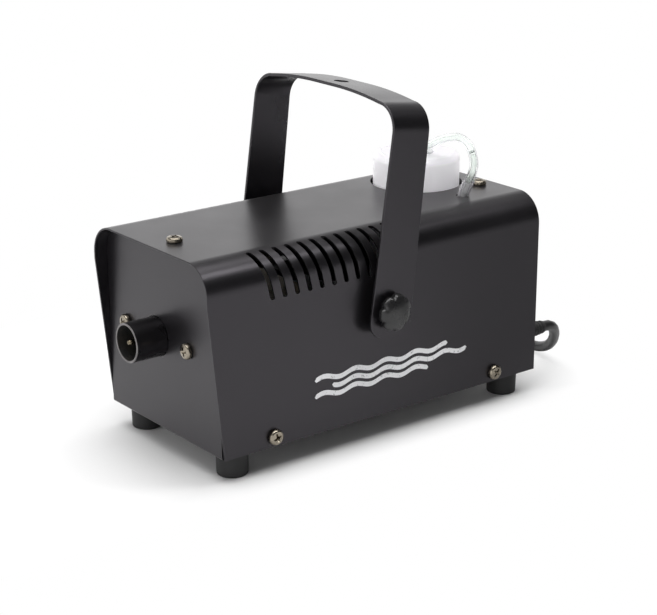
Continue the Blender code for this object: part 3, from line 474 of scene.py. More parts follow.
def soften(obj, width):
    """Round the sharp edges a little."""
    modifier = obj.modifiers.new("soft edges", "BEVEL")
    modifier.width = width
    modifier.segments = 2
    modifier.limit_method = "ANGLE"
    modifier.angle_limit = math.radians(40)
    modifier.use_clamp_overlap = True
    settle(obj)


def shade_faces(mesh, finishes, angle):
    """Give a mesh its finishes, smooth but for edges sharper than angle."""
    mesh.materials.clear()
    for name in finishes:
        mesh.materials.append(finish(name))
    mesh.shade_smooth()
    mesh.set_sharp_from_angle(angle=math.radians(angle))


def dress(obj, finishes, body, stands_for=(), slot=None, angle=32, weighted=True):
    """Give a piece its finishes, its shading and the body it moves with."""
    shade_faces(obj.data, finishes, angle)
    if weighted:
        modifier = obj.modifiers.new("even shading", "WEIGHTED_NORMAL")
        modifier.keep_sharp = True
        modifier.weight = 60
    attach(obj, body)
    if stands_for:
        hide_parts(*stands_for)
    return obj


def piece(name, bm, one_finish, *dressing, **choices):
    """A piece from a bmesh, dressed in one finish."""
    return dress(object_from(name, bm), [one_finish], *dressing, **choices)


def smooth_route(points, spacing):
    """Points a steady distance apart along a smooth curve through the route's own points."""
    guide = [Vector(p) for p in points]
    guide = [2 * guide[0] - guide[1], *guide, 2 * guide[-1] - guide[-2]]
    fine = []
    for a, b, c, d in zip(guide, guide[1:], guide[2:], guide[3:]):
        for k in range(ROUTE_STEPS):
            t = k / ROUTE_STEPS
            fine.append(0.5 * (2 * b + (c - a) * t + (2 * a - 5 * b + 4 * c - d) * t * t
                               + (3 * b - a - 3 * c + d) * t ** 3))
    fine.append(guide[-2])
    total = route_length(fine)
    count = max(2, round(total / spacing))
    step = total / count
    out = [fine[0]]
    walked = 0.0
    for p, q in zip(fine, fine[1:]):
        length = (q - p).length
        while len(out) < count and walked + length >= step * len(out):
            out.append(p.lerp(q, (step * len(out) - walked) / length))
        walked += length
    out.append(fine[-1])
    return out


def route_length(points):
    """The length of a line through points."""
    return sum((b - a).length for a, b in zip(points, points[1:]))


def pipe_rings(points, radius, segments=32):
    """Rings of points around a route that runs in or near a plane across Y."""
    rings = []
    for i, point in enumerate(points):
        before = points[max(0, i - 1)]
        after = points[min(len(points) - 1, i + 1)]
        along = (after - before).normalized()
        side = along.cross(Vector((0, 1, 0))).normalized()
        other = along.cross(side)
        angles = [2 * math.pi * k / segments for k in range(segments)]
        rings.append([point + radius * (math.cos(a) * side + math.sin(a) * other) for a in angles])
    return rings


# ---------------------------------------------------------------- shader helpers

class Net:
    """Adds nodes to a tree; an input given as a socket is linked, any other value is set."""

    def __init__(self, tree):
        self.tree = tree

    def fill(self, node, inputs):
        """Link or set a node's inputs."""
        for key, value in inputs.items():
            if isinstance(value, bpy.types.NodeSocket):
                self.tree.links.new(value, node.inputs[key])
            else:
                node.inputs[key].default_value = value

    def add(self, kind, inputs=None, **values):
        """A node with its inputs and its own values."""
        made = self.tree.nodes.new("ShaderNode" + kind)
        for name, value in values.items():
            setattr(made, name, value)
        self.fill(made, inputs or {})
        return made

    def maths(self, operation, a, b=0.0, clamp=False):
        """One sum."""
        return self.add("Math", {0: a, 1: b}, operation=operation, use_clamp=clamp).outputs[0]

    def times(self, a, b, clamp=False):
        """One product."""
        return self.maths("MULTIPLY", a, b, clamp)

    def vector(self, operation, a, b=(0.0, 0.0, 0.0), output="Vector"):
        """One vector sum."""
        return self.add("VectorMath", {0: a, 1: b}, operation=operation).outputs[output]

    def mix(self, factor, a, b):
        """A colour between a and b."""
        return self.add("Mix", {0: factor, 6: a, 7: b}, data_type="RGBA").outputs[2]

    def spread(self, value, low, high, to_low=0.0, to_high=1.0, smooth=False):
        """A value moved from one range into another, and kept in it."""
        kind = "SMOOTHSTEP" if smooth else "LINEAR"
        inputs = {"Value": value, "From Min": low, "From Max": high, "To Min": to_low, "To Max": to_high}
        return self.add("MapRange", inputs, interpolation_type=kind).outputs[0]

    def noise(self, where, scale, detail=2.0, roughness=0.5):
        """Soft noise, 0 to 1."""
        inputs = {"Vector": where, "Scale": scale, "Detail": detail, "Roughness": roughness}
        return self.add("TexNoise", inputs).outputs[0]

    def waves(self, where, scale, distortion, direction):
        """Parallel waves, 0 to 1."""
        inputs = {"Vector": where, "Scale": scale, "Distortion": distortion}
        return self.add("TexWave", inputs, bands_direction=direction).outputs["Fac"]

    def place(self):
        """The piece's own coordinates."""
        return self.add("TexCoord").outputs["Object"]

    def facing_up(self, low):
        """How far a face looks up: 0 at low, 1 when nearly level."""
        normal = self.add("NewGeometry").outputs["Normal"]
        return self.spread(self.add("SeparateXYZ", {0: normal}).outputs["Z"], low, 0.95)

    def seen(self):
        """1 where the camera looks straight at a surface."""
        return self.add("LightPath").outputs["Is Camera Ray"]

    def surface(self, colour, rough, height, relief, strength=1.0, **others):
        """Feed the Principled shader; other inputs have _ in place of each space."""
        raised = self.add("Bump", {"Height": height, "Distance": relief, "Strength": strength})
        inputs = {"Base Color": colour, "Roughness": rough, "Normal": raised.outputs[0]}
        inputs.update({name.replace("_", " "): value for name, value in others.items()})
        self.fill(self.tree.nodes["Principled BSDF"], inputs)


def grain_group(net, given):
    """Fine grain with a slower change of tone: powder coat, moulded plastic, cast metal."""
    where = net.place()
    fine = net.noise(where, net.maths("DIVIDE", 1.0, given["Size"]), 3.0, 0.6)
    lumps = net.noise(where, net.maths("DIVIDE", 0.35, given["Size"]), 1.0)
    height = net.maths("ADD", net.times(fine, 0.65), net.times(lumps, 0.35))
    return height, net.noise(where, net.maths("DIVIDE", 1.0, given["Patch Size"]), 3.0, 0.55)


def edge_group(net, given):
    """Where edges are rubbed and given a painted highlight: 1 on a sharp outer edge, broken up by noise."""
    rounded = net.add("Bevel", {"Radius": given["Width"]}, samples=4).outputs[0]
    normal = net.add("NewGeometry").outputs["Normal"]
    edge = net.spread(net.vector("DOT_PRODUCT", rounded, normal, "Value"), 0.985, 0.86)
    broken = net.spread(net.noise(net.place(), 420.0, 4.0), 0.36, 0.62)
    return (net.times(net.times(edge, broken), given["Amount"], True),)


def dust_group(net, given):
    """Thin dust that settles on faces looking up."""
    up = net.facing_up(0.25)
    where = net.place()
    cloud = net.noise(where, net.maths("DIVIDE", 1.0, given["Size"]), 4.0, 0.6)
    specks = net.spread(net.noise(where, 900.0, 2.0), 0.60, 0.72)
    amount = net.maths("ADD", net.times(cloud, 0.6), net.times(specks, 0.6))
    return (net.times(net.times(up, amount), given["Amount"], True),)


def brushed_group(net, given):
    """Fine lines from turning or rolling, across the piece's own Z axis."""
    where = net.add("SeparateXYZ", {0: net.place()}).outputs
    joined = net.add("CombineXYZ", {0: net.times(where[0], given["Along"]),
                                    1: net.times(where[1], given["Along"]),
                                    2: net.times(where[2], given["Lines"])})
    return net.noise(joined.outputs[0], 1.0, 2.0), net.noise(net.place(), 160.0, 3.0)


GROUPS = {
    "fine grain": (grain_group, {"Size": 0.0005, "Patch Size": 0.03}, ("Height", "Tone")),
    "edge wear and painted highlight": (edge_group, {"Width": 0.0004, "Amount": 0.5}, ("Mask",)),
    "settled dust": (dust_group, {"Amount": 0.1, "Size": 0.02}, ("Mask",)),
    "tool marks": (brushed_group, {"Lines": 6000.0, "Along": 60.0}, ("Height", "Tone")),
}
BUILT = {}


def build_group(name):
    """One of the shared node groups, with its named sockets."""
    fill_group, inputs, outputs = GROUPS[name]
    tree = bpy.data.node_groups.new(name, "ShaderNodeTree")
    for label, value in inputs.items():
        socket = tree.interface.new_socket(name=label, in_out="INPUT", socket_type="NodeSocketFloat")
        socket.default_value = value
    for label in outputs:
        tree.interface.new_socket(name=label, in_out="OUTPUT", socket_type="NodeSocketFloat")
    given = tree.nodes.new("NodeGroupInput")
    out = tree.nodes.new("NodeGroupOutput")
    for label, socket in zip(outputs, fill_group(Net(tree), given.outputs)):
        tree.links.new(socket, out.inputs[label])
    return tree


def placed(net, name, **inputs):
    """One of the shared groups, placed in a material with its own values."""
    if name not in BUILT:
        BUILT[name] = build_group(name)
    made = net.tree.nodes.new("ShaderNodeGroup")
    made.node_tree = BUILT[name]
    net.fill(made, {label.replace("_", " "): value for label, value in inputs.items()})
    return made.outputs


def shade(colour, factor=1.0):
    """A colour made lighter or darker, with alpha."""
    return (colour[0] * factor, colour[1] * factor, colour[2] * factor, 1.0)


def new_material(name):
    """A material, and a net to add its nodes with."""
    made = bpy.data.materials.new(name)
    made.use_nodes = True
    return made, Net(made.node_tree)


# ---------------------------------------------------------------- finishes

def powder_coat(name, colour, roughness, grain, bump, wear=0.5, dust=0.05):
    """Satin powder coat: fine orange-peel grain, rubbed edges that also carry a painted highlight, and a
    little dust on top.
    """
    made, net = new_material(name)
    texture = placed(net, "fine grain", Size=grain, Patch_Size=0.035)
    edge = placed(net, "edge wear and painted highlight", Width=0.00035, Amount=wear)["Mask"]
    settled = placed(net, "settled dust", Amount=dust, Size=0.018)["Mask"]
    base = net.mix(net.spread(texture["Tone"], 0.3, 0.7), shade(colour, 0.88), shade(colour, 1.14))
    base = net.mix(net.spread(texture["Height"], 0.35, 0.7), base, shade(colour, 1.28))
    # painted highlight: sharp edges lightened towards grey, partly as rubbed wear
    base = net.mix(edge, base, (0.085, 0.083, 0.085, 1.0))
    base = net.mix(settled, base, (0.30, 0.29, 0.28, 1.0))
    rough = net.spread(texture["Tone"], 0.25, 0.75, roughness - 0.025, roughness + 0.035)
    rough = net.maths("ADD", rough, net.times(settled, 0.35))
    rough = net.maths("SUBTRACT", rough, net.times(edge, 0.08), True)
    net.surface(base, rough, texture["Height"], bump, Specular_Tint=(1.0, 0.94, 1.03, 1.0))
    return made


def plated_metal(name, colour, roughness, tarnish):
    """Plated or machined metal: tool marks, a darker film in places and brighter edges, rubbed and with a
    painted highlight.
    """
    made, net = new_material(name)
    marks = placed(net, "tool marks", Lines=5200.0, Along=420.0)
    edge = placed(net, "edge wear and painted highlight", Width=0.00025, Amount=0.8)["Mask"]
    film = net.spread(marks["Tone"], 0.40, 0.72, 0.0, tarnish)
    base = net.mix(film, shade(colour), shade(colour, 0.35))
    # painted highlight: sharp edges brightened, partly as rubbed wear
    base = net.mix(edge, base, shade(colour, 1.25))
    rough = net.spread(marks["Tone"], 0.3, 0.8, roughness - 0.05, roughness + 0.14)
    net.surface(base, rough, marks["Height"], 0.000004, Metallic=1.0)
    return made


def moulded(name, colour, roughness, grain=0.0004, bump=0.000008, wear=0.25, metallic=0.0):
    """Moulded or cast: faint texture, edges a little paler from rubbing and a painted highlight, dust on top.
    """
    made, net = new_material(name)
    texture = placed(net, "fine grain", Size=grain, Patch_Size=0.012)
    edge = placed(net, "edge wear and painted highlight", Width=0.0003, Amount=wear)["Mask"]
    settled = placed(net, "settled dust", Amount=0.04, Size=0.010)["Mask"]
    base = net.mix(net.spread(texture["Tone"], 0.3, 0.7), shade(colour, 0.93), shade(colour, 1.07))
    # painted highlight: sharp edges made paler, partly as rubbed wear
    base = net.mix(edge, base, (*(min(1.0, channel + 0.06) for channel in colour), 1.0))
    base = net.mix(settled, base, (0.36, 0.35, 0.34, 1.0))
    rough = net.spread(texture["Tone"], 0.25, 0.75, roughness - 0.04, roughness + 0.05)
    rough = net.maths("ADD", rough, net.times(settled, 0.3))
    net.surface(base, rough, texture["Height"], bump, Metallic=metallic)
    return made


def cloudy_plastic(name, colour, roughness, glow, painted_glow=0.0):
    """Translucent polythene: a waxy surface with light that spreads inside; the sides get a painted glow and
    faces looking up painted shade.
    """
    made, net = new_material(name)
    texture = placed(net, "fine grain", Size=0.0007, Patch_Size=0.015)
    settled = placed(net, "settled dust", Amount=0.05, Size=0.012)["Mask"]
    base = net.mix(net.spread(texture["Tone"], 0.3, 0.7), shade(colour, 0.97), shade(colour, 1.02))
    base = net.mix(settled, base, (0.62, 0.60, 0.58, 1.0))
    # painted shade: faces looking up are darkened to 0.70 of the colour
    up = net.facing_up(0.1)
    rough = net.spread(texture["Tone"], 0.25, 0.75, roughness - 0.05, roughness + 0.05)
    # painted glow: the faces not looking up emit their own colour, scaled by the glow amount
    net.surface(net.mix(up, base, shade(colour, 0.70)), rough, texture["Height"], 0.000006,
                Emission_Color=net.mix(up, shade(colour, painted_glow), BLACK), Emission_Strength=1.0,
                Subsurface_Weight=glow, Subsurface_Radius=(1.0, 0.9, 1.0), Subsurface_Scale=0.004)
    return made


def clear_plastic(name, colour, ior, roughness, clear=1.0):
    """Clear or milky soft plastic, with a faint drawn texture on its surface."""
    made, net = new_material(name)
    texture = placed(net, "fine grain", Size=0.0016, Patch_Size=0.02)
    base = net.mix(net.spread(texture["Tone"], 0.3, 0.7), shade(colour, 0.985), shade(colour))
    rough = net.spread(texture["Tone"], 0.2, 0.8, roughness, roughness + 0.05)
    net.surface(base, rough, texture["Height"], 0.000002, 0.3, Transmission_Weight=clear, IOR=ior)
    return made


def woven_cloth(name, colour):
    """Glass cloth wrapped in turns: crossing threads."""
    made, net = new_material(name)
    where = net.place()
    threads = net.maths("MAXIMUM", net.waves(where, 320.0, 0.6, "Y"), net.waves(where, 320.0, 0.6, "Z"))
    base = net.mix(threads, shade(colour, 0.55), shade(colour))
    base = net.mix(net.spread(net.noise(where, 60.0, 4.0), 0.5, 0.75), base, (0.38, 0.29, 0.18, 1.0))
    net.surface(base, 0.92, threads, 0.0002)
    return made


def circuit_lacquer(name, colour):
    """Green lacquer over copper tracks."""
    made, net = new_material(name)
    lines = net.spread(net.noise(net.place(), 220.0, 1.0), 0.48, 0.52, smooth=True)
    rough = net.spread(lines, 0.0, 1.0, 0.42, 0.28)
    net.surface(net.mix(lines, shade(colour, 0.7), shade(colour, 1.7)), rough, lines, 0.00004)
    return made


def wound_wire(name, colour):
    """Enamelled wire wound in close turns."""
    made, net = new_material(name)
    turns = net.waves(net.place(), 420.0, 0.15, "Y")
    tone = net.spread(net.noise(net.place(), 90.0, 3.0), 0.4, 0.7, 0.0, 0.4)
    base = net.mix(turns, shade(colour, 0.35), shade(colour, 1.1))
    rough = net.spread(turns, 0.0, 1.0, 0.5, 0.26)
    net.surface(net.mix(tone, base, shade(colour, 0.5)), rough, turns, 0.00015, Metallic=0.6)
    return made


def printed_ink(name):
    """White screen-printed ink, a little worn through."""
    made, net = new_material(name)
    where = net.place()
    wear = net.spread(net.noise(where, 700.0, 4.0), 0.30, 0.42)
    tone = net.noise(where, 60.0, 2.0)
    base = net.mix(tone, (0.74, 0.74, 0.76, 1.0), (0.88, 0.88, 0.89, 1.0))
    rough = net.spread(tone, 0.3, 0.7, 0.42, 0.52)
    net.surface(net.mix(wear, (0.40, 0.40, 0.41, 1.0), base), rough, wear, 0.00001)
    return made


def sooty_bore(name):
    """The nozzle's inside: dull black with a dried film of fluid."""
    made, net = new_material(name)
    film = net.spread(net.noise(net.place(), 240.0, 4.0), 0.42, 0.7)
    base = net.mix(film, (0.004, 0.004, 0.004, 1.0), (0.020, 0.017, 0.014, 1.0))
    net.surface(base, net.spread(film, 0.0, 1.0, 0.75, 0.5), film, 0.00005)
    return made


FINISHES = {}


def build_finishes():
    """Every finish, named for the record's material slot or for its own piece."""
    coat = settings().coat
    fittings = settings().fittings
    rough = coat.roughness
    table = {
        "black_coat": (powder_coat, coat.colour, rough, coat.grain, coat.bump),
        "handle_coat": (powder_coat, coat.handle_colour, rough - 0.02, coat.grain, coat.bump, 0.7),
        "nozzle_coat": (powder_coat, (0.0036, 0.0034, 0.0038), rough - 0.04, coat.grain, coat.bump * 0.6,
                        0.3, 0.02),
        "nozzle_rim": (plated_metal, (0.20, 0.19, 0.19), 0.40, 0.5),
        "nozzle_bore": (sooty_bore,),
        "nickel_screw": (plated_metal, fittings.screw, 0.24, 0.35),
        "zinc_steel": (plated_metal, (0.60, 0.60, 0.58), 0.30, 0.25),
        "cast_aluminium": (moulded, (0.58, 0.59, 0.60), 0.5, 0.0007, 0.00004, 0.25, 1.0),
        "brass": (plated_metal, fittings.brass, 0.26, 0.45),
        "glass_cloth": (woven_cloth, (0.78, 0.74, 0.64)),
        "black_plastic": (moulded, (0.0120, 0.0118, 0.0124), 0.27),
        "switch_plastic": (moulded, (0.018, 0.018, 0.019), 0.38),
        "rocker_plastic": (moulded, fittings.rocker, 0.22, 0.0004, 0.000004),
        "white_plastic": (cloudy_plastic, fittings.cap, 0.40, 0.45, 0.19),
        "tank_plastic": (cloudy_plastic, (0.78, 0.79, 0.80), 0.40, 0.5),
        "clear_hose": (clear_plastic, fittings.hose, 1.22, 0.13),
        "hose_fluid": (clear_plastic, (0.95, 0.96, 0.95), 1.15, 0.25, 0.85),
        "sleeve_plastic": (clear_plastic, (0.96, 0.95, 0.97), 1.25, 0.20, 0.78),
        "silicone": (cloudy_plastic, (0.72, 0.73, 0.74), 0.5, 0.3),
        "rubber": (moulded, (0.0100, 0.0098, 0.0102), 0.62, 0.0005, 0.00003, 0.4),
        "cord_jacket": (moulded, (0.0110, 0.0108, 0.0112), 0.40, 0.0008, 0.00002),
        "circuit_green": (circuit_lacquer, (0.02, 0.13, 0.06)),
        "coil_winding": (wound_wire, (0.50, 0.19, 0.07)),
        "white_ink": (printed_ink,),
    }
    for name, (maker, *values) in table.items():
        FINISHES[name] = maker(name, *values)


def finish(name):
    """A finish, made with the others the first time one is asked for."""
    if not FINISHES:
        build_finishes()
    return FINISHES[name]


# ---------------------------------------------------------------- stage

def floor_colour(net, where, x):
    """The floor's colour: darkened behind the machine as painted shade, for light that bounces and not for
    the camera.
    """
    rearward = net.vector("DOT_PRODUCT", where, (-0.80, 1.0, 0.0), "Value")
    dim = net.spread(rearward, -0.09, 0.07, 0.0, 0.55, smooth=True)
    dim = net.times(dim, net.spread(x, 0.02, 0.10))
    dim = net.times(dim, net.maths("SUBTRACT", 1.0, net.seen()))
    return net.mix(dim, (*settings().stage.floor, 1.0), (0.02, 0.02, 0.02, 1.0))


def floor_cleared(net, where, x):
    """1 where the floor shows plain white: away from the machine's shadow and far off, and as painted light
    close beside the machine's right side, cutting its real shadow short.
    """
    offset = net.vector("ABSOLUTE", net.vector("SUBTRACT", where, FLOOR_SHADOW_CENTRE))
    offset = net.vector("MAXIMUM", net.vector("SUBTRACT", offset, FLOOR_SHADOW_HALF))
    beyond = net.vector("LENGTH", offset, output="Value")
    clean = net.spread(beyond, 0.0, FLOOR_SHADOW_FADE, smooth=True)
    # painted light: close to the right side the floor turns plain white for the camera, where the real shadow
    # lies
    right = net.spread(x, HALF_WIDTH - 0.004, HALF_WIDTH + 0.021, smooth=True)
    clean = net.times(net.maths("MAXIMUM", clean, right), net.seen())
    away = net.vector("LENGTH", where, output="Value")
    return net.maths("MAXIMUM", clean, net.spread(away, 1.0, 2.4, smooth=True))


def build_floor():
    """A wide pale floor: shadows near the machine, plain white away from it."""
    bm = bmesh.new()
    bmesh.ops.create_grid(bm, x_segments=1, y_segments=1, size=9.0)
    floor = object_from("floor", bm)
    made, net = new_material("floor")
    where = net.place()
    x = net.add("SeparateXYZ", {0: where}).outputs["X"]
    shader = net.tree.nodes["Principled BSDF"]
    net.fill(shader, {"Base Color": floor_colour(net, where, x), "Roughness": 0.85,
                      "Specular IOR Level": 0.2})
    white = net.add("Emission", {"Color": WHITE, "Strength": 1.0}).outputs[0]
    mixed = net.add("MixShader", {0: floor_cleared(net, where, x), 1: shader.outputs[0], 2: white})
    net.fill(net.tree.nodes["Material Output"], {"Surface": mixed.outputs[0]})
    floor.data.materials.append(made)


def build_sky():
    """A white sweep low down, a darker studio above it and a dark corner behind on the right."""
    world = bpy.data.worlds.new("studio")
    bpy.context.scene.world = world
    world.use_nodes = True
    net = Net(world.node_tree)
    where = net.add("TexCoord").outputs["Generated"]
    height = net.add("SeparateXYZ", {0: where}).outputs["Z"]
    sweep = net.spread(height, 0.36, 0.54, 1.34, 0.30, smooth=True)
    corner = net.vector("DOT_PRODUCT", where, (0.80, 0.60, 0.0), "Value")
    dark = net.spread(corner, 0.28, 0.60, 1.0, 0.03, smooth=True)
    studio = net.times(sweep, dark)
    strength = net.add("Mix", {0: net.seen(), 2: studio, 3: 1.0}, data_type="FLOAT").outputs[0]
    net.fill(world.node_tree.nodes["Background"], {"Color": WHITE, "Strength": strength})


def add_light(name, at, look_at, size, power):
    """A soft light that the camera does not see."""
    data = bpy.data.lights.new(name, "AREA")
    data.shape = "RECTANGLE"
    data.size, data.size_y = size
    data.energy = power
    lamp = put(name, data)
    lamp.location = at
    lamp.rotation_mode = "QUATERNION"
    lamp.rotation_quaternion = (Vector(look_at) - Vector(at)).to_track_quat("-Z", "Y")
    lamp.visible_camera = False


def build_camera():
    """The camera, above the table in front of the machine's right side."""
    yaw = math.radians(CAMERA_YAW)
    pitch = math.radians(CAMERA_PITCH)
    roll = math.radians(CAMERA_ROLL)
    level = Vector((math.cos(yaw), math.sin(yaw), 0.0))
    forward = Vector((-math.sin(yaw) * math.cos(pitch), math.cos(yaw) * math.cos(pitch), -math.sin(pitch)))
    raised = level.cross(forward)
    right = level * math.cos(roll) + raised * math.sin(roll)
    up = raised * math.cos(roll) - level * math.sin(roll)
    data = bpy.data.cameras.new("camera")
    data.sensor_width = CAMERA_SENSOR
    data.lens = CAMERA_LENS
    data.clip_start = 0.02
    data.clip_end = 60.0
    camera = put("camera", data)
    matrix = Matrix((right, up, -forward)).transposed().to_4x4()
    matrix.translation = CAMERA_AT
    camera.matrix_world = matrix
    bpy.context.scene.camera = camera


class FogBuildStage(bpy.types.Operator):
    """Floor, sky, soft lights and camera"""

    bl_idname = "fog_machine.build_stage"
    bl_label = "Stage"

    def execute(self, context):
        stage = settings().stage
        context.scene.view_settings.view_transform = "Standard"
        build_floor()
        build_sky()
        add_light("overhead_light", (-0.1, -0.1, 2.3), (0.0, 0.0, 0.0), (2.2, 2.2), stage.overhead)
        add_light("rear_light", (0.68, 0.72, 1.53), (0.03, -0.03, 0.10), (0.42, 0.38), stage.rear)
        build_camera()
        return {"FINISHED"}


# ---------------------------------------------------------------- mains cord

def between(start, end, steps):
    """The points that divide the way from start to end, both ends left out."""
    return [start.lerp(end, k / steps) for k in range(1, steps)]


def cord_route():
    """The cord's centreline: along the floor behind the machine, then the coil and on to its plug."""
    points = smooth_route(CORD_GUIDE, CORD_SPACING)
    centre = Vector((COIL_CENTRE.x, COIL_CENTRE.y, 0.0))
    tangent = Vector((centre.x, centre.y + COIL_OUTER_TURN, COIL_FLOOR_Z))
    points += between(points[-1], tangent, 5)
    pitch = (COIL_OUTER_TURN - COIL_INNER_TURN) / COIL_LOWER_TURNS
    count = round((COIL_LOWER_TURNS + COIL_UPPER_TURNS) * COIL_TURN_POINTS)
    for k in range(count + 1):
        turns = k / COIL_TURN_POINTS
        angle = math.pi / 2 + 2 * math.pi * turns
        above = max(0.0, turns - COIL_LOWER_TURNS)
        radius = COIL_OUTER_TURN - pitch * min(turns, COIL_LOWER_TURNS) + pitch * above
        climb = min(1.0, above / COIL_CLIMB)
        z = COIL_FLOOR_Z + (COIL_UPPER_Z - COIL_FLOOR_Z) * climb * climb * (3 - 2 * climb)
        points.append(centre + Vector((radius * math.cos(angle), radius * math.sin(angle), z)))
    end = PLUG_AT + Vector((0, -0.004, 0))
    return points + between(points[-1], end, 8) + [end]


def build_strain_relief():
    """Tapered, ribbed strain relief over the cord where it leaves the rear panel."""
    centre = middle("strain_relief")
    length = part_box("strain_relief")[1].y - REAR_PANEL
    neck = settings().cord.diameter / 2 + 0.0001
    profile = [(neck, 0.0), (0.0068, 0.0), (0.0068, 0.0024), (0.0064, 0.0028), (0.0050, 0.0032)]
    step = (length - 0.0012 - RELIEF_FIRST_RIB) / RELIEF_RIBS
    for k in range(RELIEF_RIBS):
        here = RELIEF_FIRST_RIB + step * k
        radius = 0.0053 - 0.0013 * k / (RELIEF_RIBS - 1)
        for sunk, share in ((0.00035, 0.0), (0.00035, 0.30), (0.0001, 0.38), (0.0, 0.50), (0.0, 0.82),
                            (0.0001, 0.94)):
            profile.append((radius - sunk, here + step * share))
    profile += [(0.0037, length - 0.0008), (0.0035, length - 0.0001), (neck, length - 0.0001)]
    bm = turned(profile, "Y", (centre.x, REAR_PANEL + GAP, centre.z), 48)
    return piece("cord_relief", bm, "rubber", "root", ["strain_relief"], "rubber")


def build_plug():
    """Moulded plug with a grip, and its two flat blades."""
    x, y, z = PLUG_AT
    rings = []
    for back, half_width, half_height in PLUG_SECTIONS:
        ring = []
        square = 0.55 if back > 0.012 else 1.0
        for k in range(40):
            angle = 2 * math.pi * k / 40
            cos = math.copysign(abs(math.cos(angle)) ** square, math.cos(angle))
            sin = math.copysign(abs(math.sin(angle)) ** square, math.sin(angle))
            ring.append((x + half_width * cos, y - back, z + half_height * sin))
        rings.append(ring)
    body = piece("plug_body", lofted(rings), "cord_jacket", "root", ["mains_plug"], "cord_jacket")

    bm = bmesh.new()
    front = y - PLUG_LENGTH + 0.001
    outline = rounded_box((front - 0.0165, z - 0.0030), (front, z + 0.0030), 0.0012)
    for side in (1, -1):
        blade_x = x + side * 0.0064
        add_prism(bm, outline, "X", blade_x - 0.0007, blade_x + 0.0007)
    blades = object_from("plug_blades", bm)
    soften(blades, 0.0002)
    dress(blades, ["brass"], "root", slot="brass")
    return body, blades


class FogBuildCord(bpy.types.Operator):
    """Mains cord with its coil, plug and strain relief"""

    bl_idname = "fog_machine.build_cord"
    bl_label = "Mains cord"

    def execute(self, context):
        relief = build_strain_relief()
        body, blades = build_plug()
        points = cord_route()
        diameter = settings().cord.diameter
        curve = bpy.data.curves.new("mains_lead", "CURVE")
        curve.dimensions = "3D"
        curve.bevel_depth = diameter / 2
        curve.bevel_resolution = 5
        curve.use_fill_caps = True
        spline = curve.splines.new("POLY")
        spline.points.add(len(points) - 1)
        for point, place in zip(spline.points, points):
            point.co = (*place, 1.0)
        spline.use_smooth = True
        curve.materials.append(finish("cord_jacket"))
        lead = put("mains_lead", curve)
        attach(lead, "root")
        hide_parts("mains_cord", "cord_coil")
        return {"FINISHED"}


# ---------------------------------------------------------------- case

def case_outline(inset, steps=20):
    """The case's cross-section, across X and up Z, drawn in by inset: an arch on two legs."""
    half = HALF_WIDTH - inset
    centre = (HALF_WIDTH - SHOULDER_RADIUS, TOP - SHOULDER_RADIUS)
    shoulder = arc(centre, SHOULDER_RADIUS - inset, 0, 90, steps)
    right = [(half, BOTTOM), (half, VISOR_SLANT_TOP), *shoulder]
    return right + [(-x, z) for x, z in reversed(right)]


def visor_edge(z):
    """Where the cover's front edge stands at height z: upright above, slanting back below."""
    drop = max(0.0, VISOR_SLANT_TOP - z) / (VISOR_SLANT_TOP - BOTTOM)
    return FRONT + VISOR_SETBACK * drop


def shoulder_point(distance, offset):
    """A point (x, z) at a distance along the outside, from the shoulder's start, raised by offset."""
    centre_x = HALF_WIDTH - SHOULDER_RADIUS
    centre_z = TOP - SHOULDER_RADIUS
    quarter = SHOULDER_RADIUS * math.pi / 2
    if distance > quarter:
        return HALF_WIDTH + offset, centre_z - (distance - quarter)
    angle = math.pi / 2 - distance / SHOULDER_RADIUS
    radius = SHOULDER_RADIUS + offset
    return centre_x + radius * math.cos(angle), centre_z + radius * math.sin(angle)


def add_slot(bm, side, start_y):
    """One louvre slot's cutter with round ends, wrapped over a shoulder and leaning back."""
    begin = SHOULDER_RADIUS * math.radians(SLOT_START_ANGLE)
    end = SHOULDER_RADIUS * math.pi / 2 + (TOP - SHOULDER_RADIUS - SLOT_END_Z)
    half = SLOT_WIDTH / 2
    round_end = [half * (1 - math.cos(math.radians(a))) for a in SLOT_END_ANGLES]
    span = end - begin - 2 * half
    distances = [begin + step for step in round_end]
    distances += [begin + half + span * k / SLOT_STEPS for k in range(1, SLOT_STEPS)]
    distances += [end - step for step in reversed(round_end)]
    rings = []
    for distance in distances:
        from_end = min(distance - begin, end - distance, half)
        reach = math.sqrt(max(0.0, half * half - (half - from_end) ** 2))
        outer_x, outer_z = shoulder_point(distance, SLOT_CUT)
        inner_x, inner_z = shoulder_point(distance, -SHEET - SLOT_CUT)
        y = start_y + SLOT_LEAN * (distance - begin) / (end - begin)
        rings.append([(side * outer_x, y - reach, outer_z), (side * outer_x, y + reach, outer_z),
                      (side * inner_x, y + reach, inner_z), (side * inner_x, y - reach, inner_z)])
    add_loft(bm, rings)


def cover_screw_holes(half, depth):
    """Cutters for the cover screws, through the top and through the sheets at half the width."""
    places = []
    for node, axis in COVER_SCREWS.items():
        centre = middle(node)
        if axis == "Z":
            centre.z = TOP
        else:
            centre.x = math.copysign(half, centre.x)
        places.append((SCREW_HOLE_RADIUS, axis, centre, 32, depth if axis == "Z" else CUT))
    return places


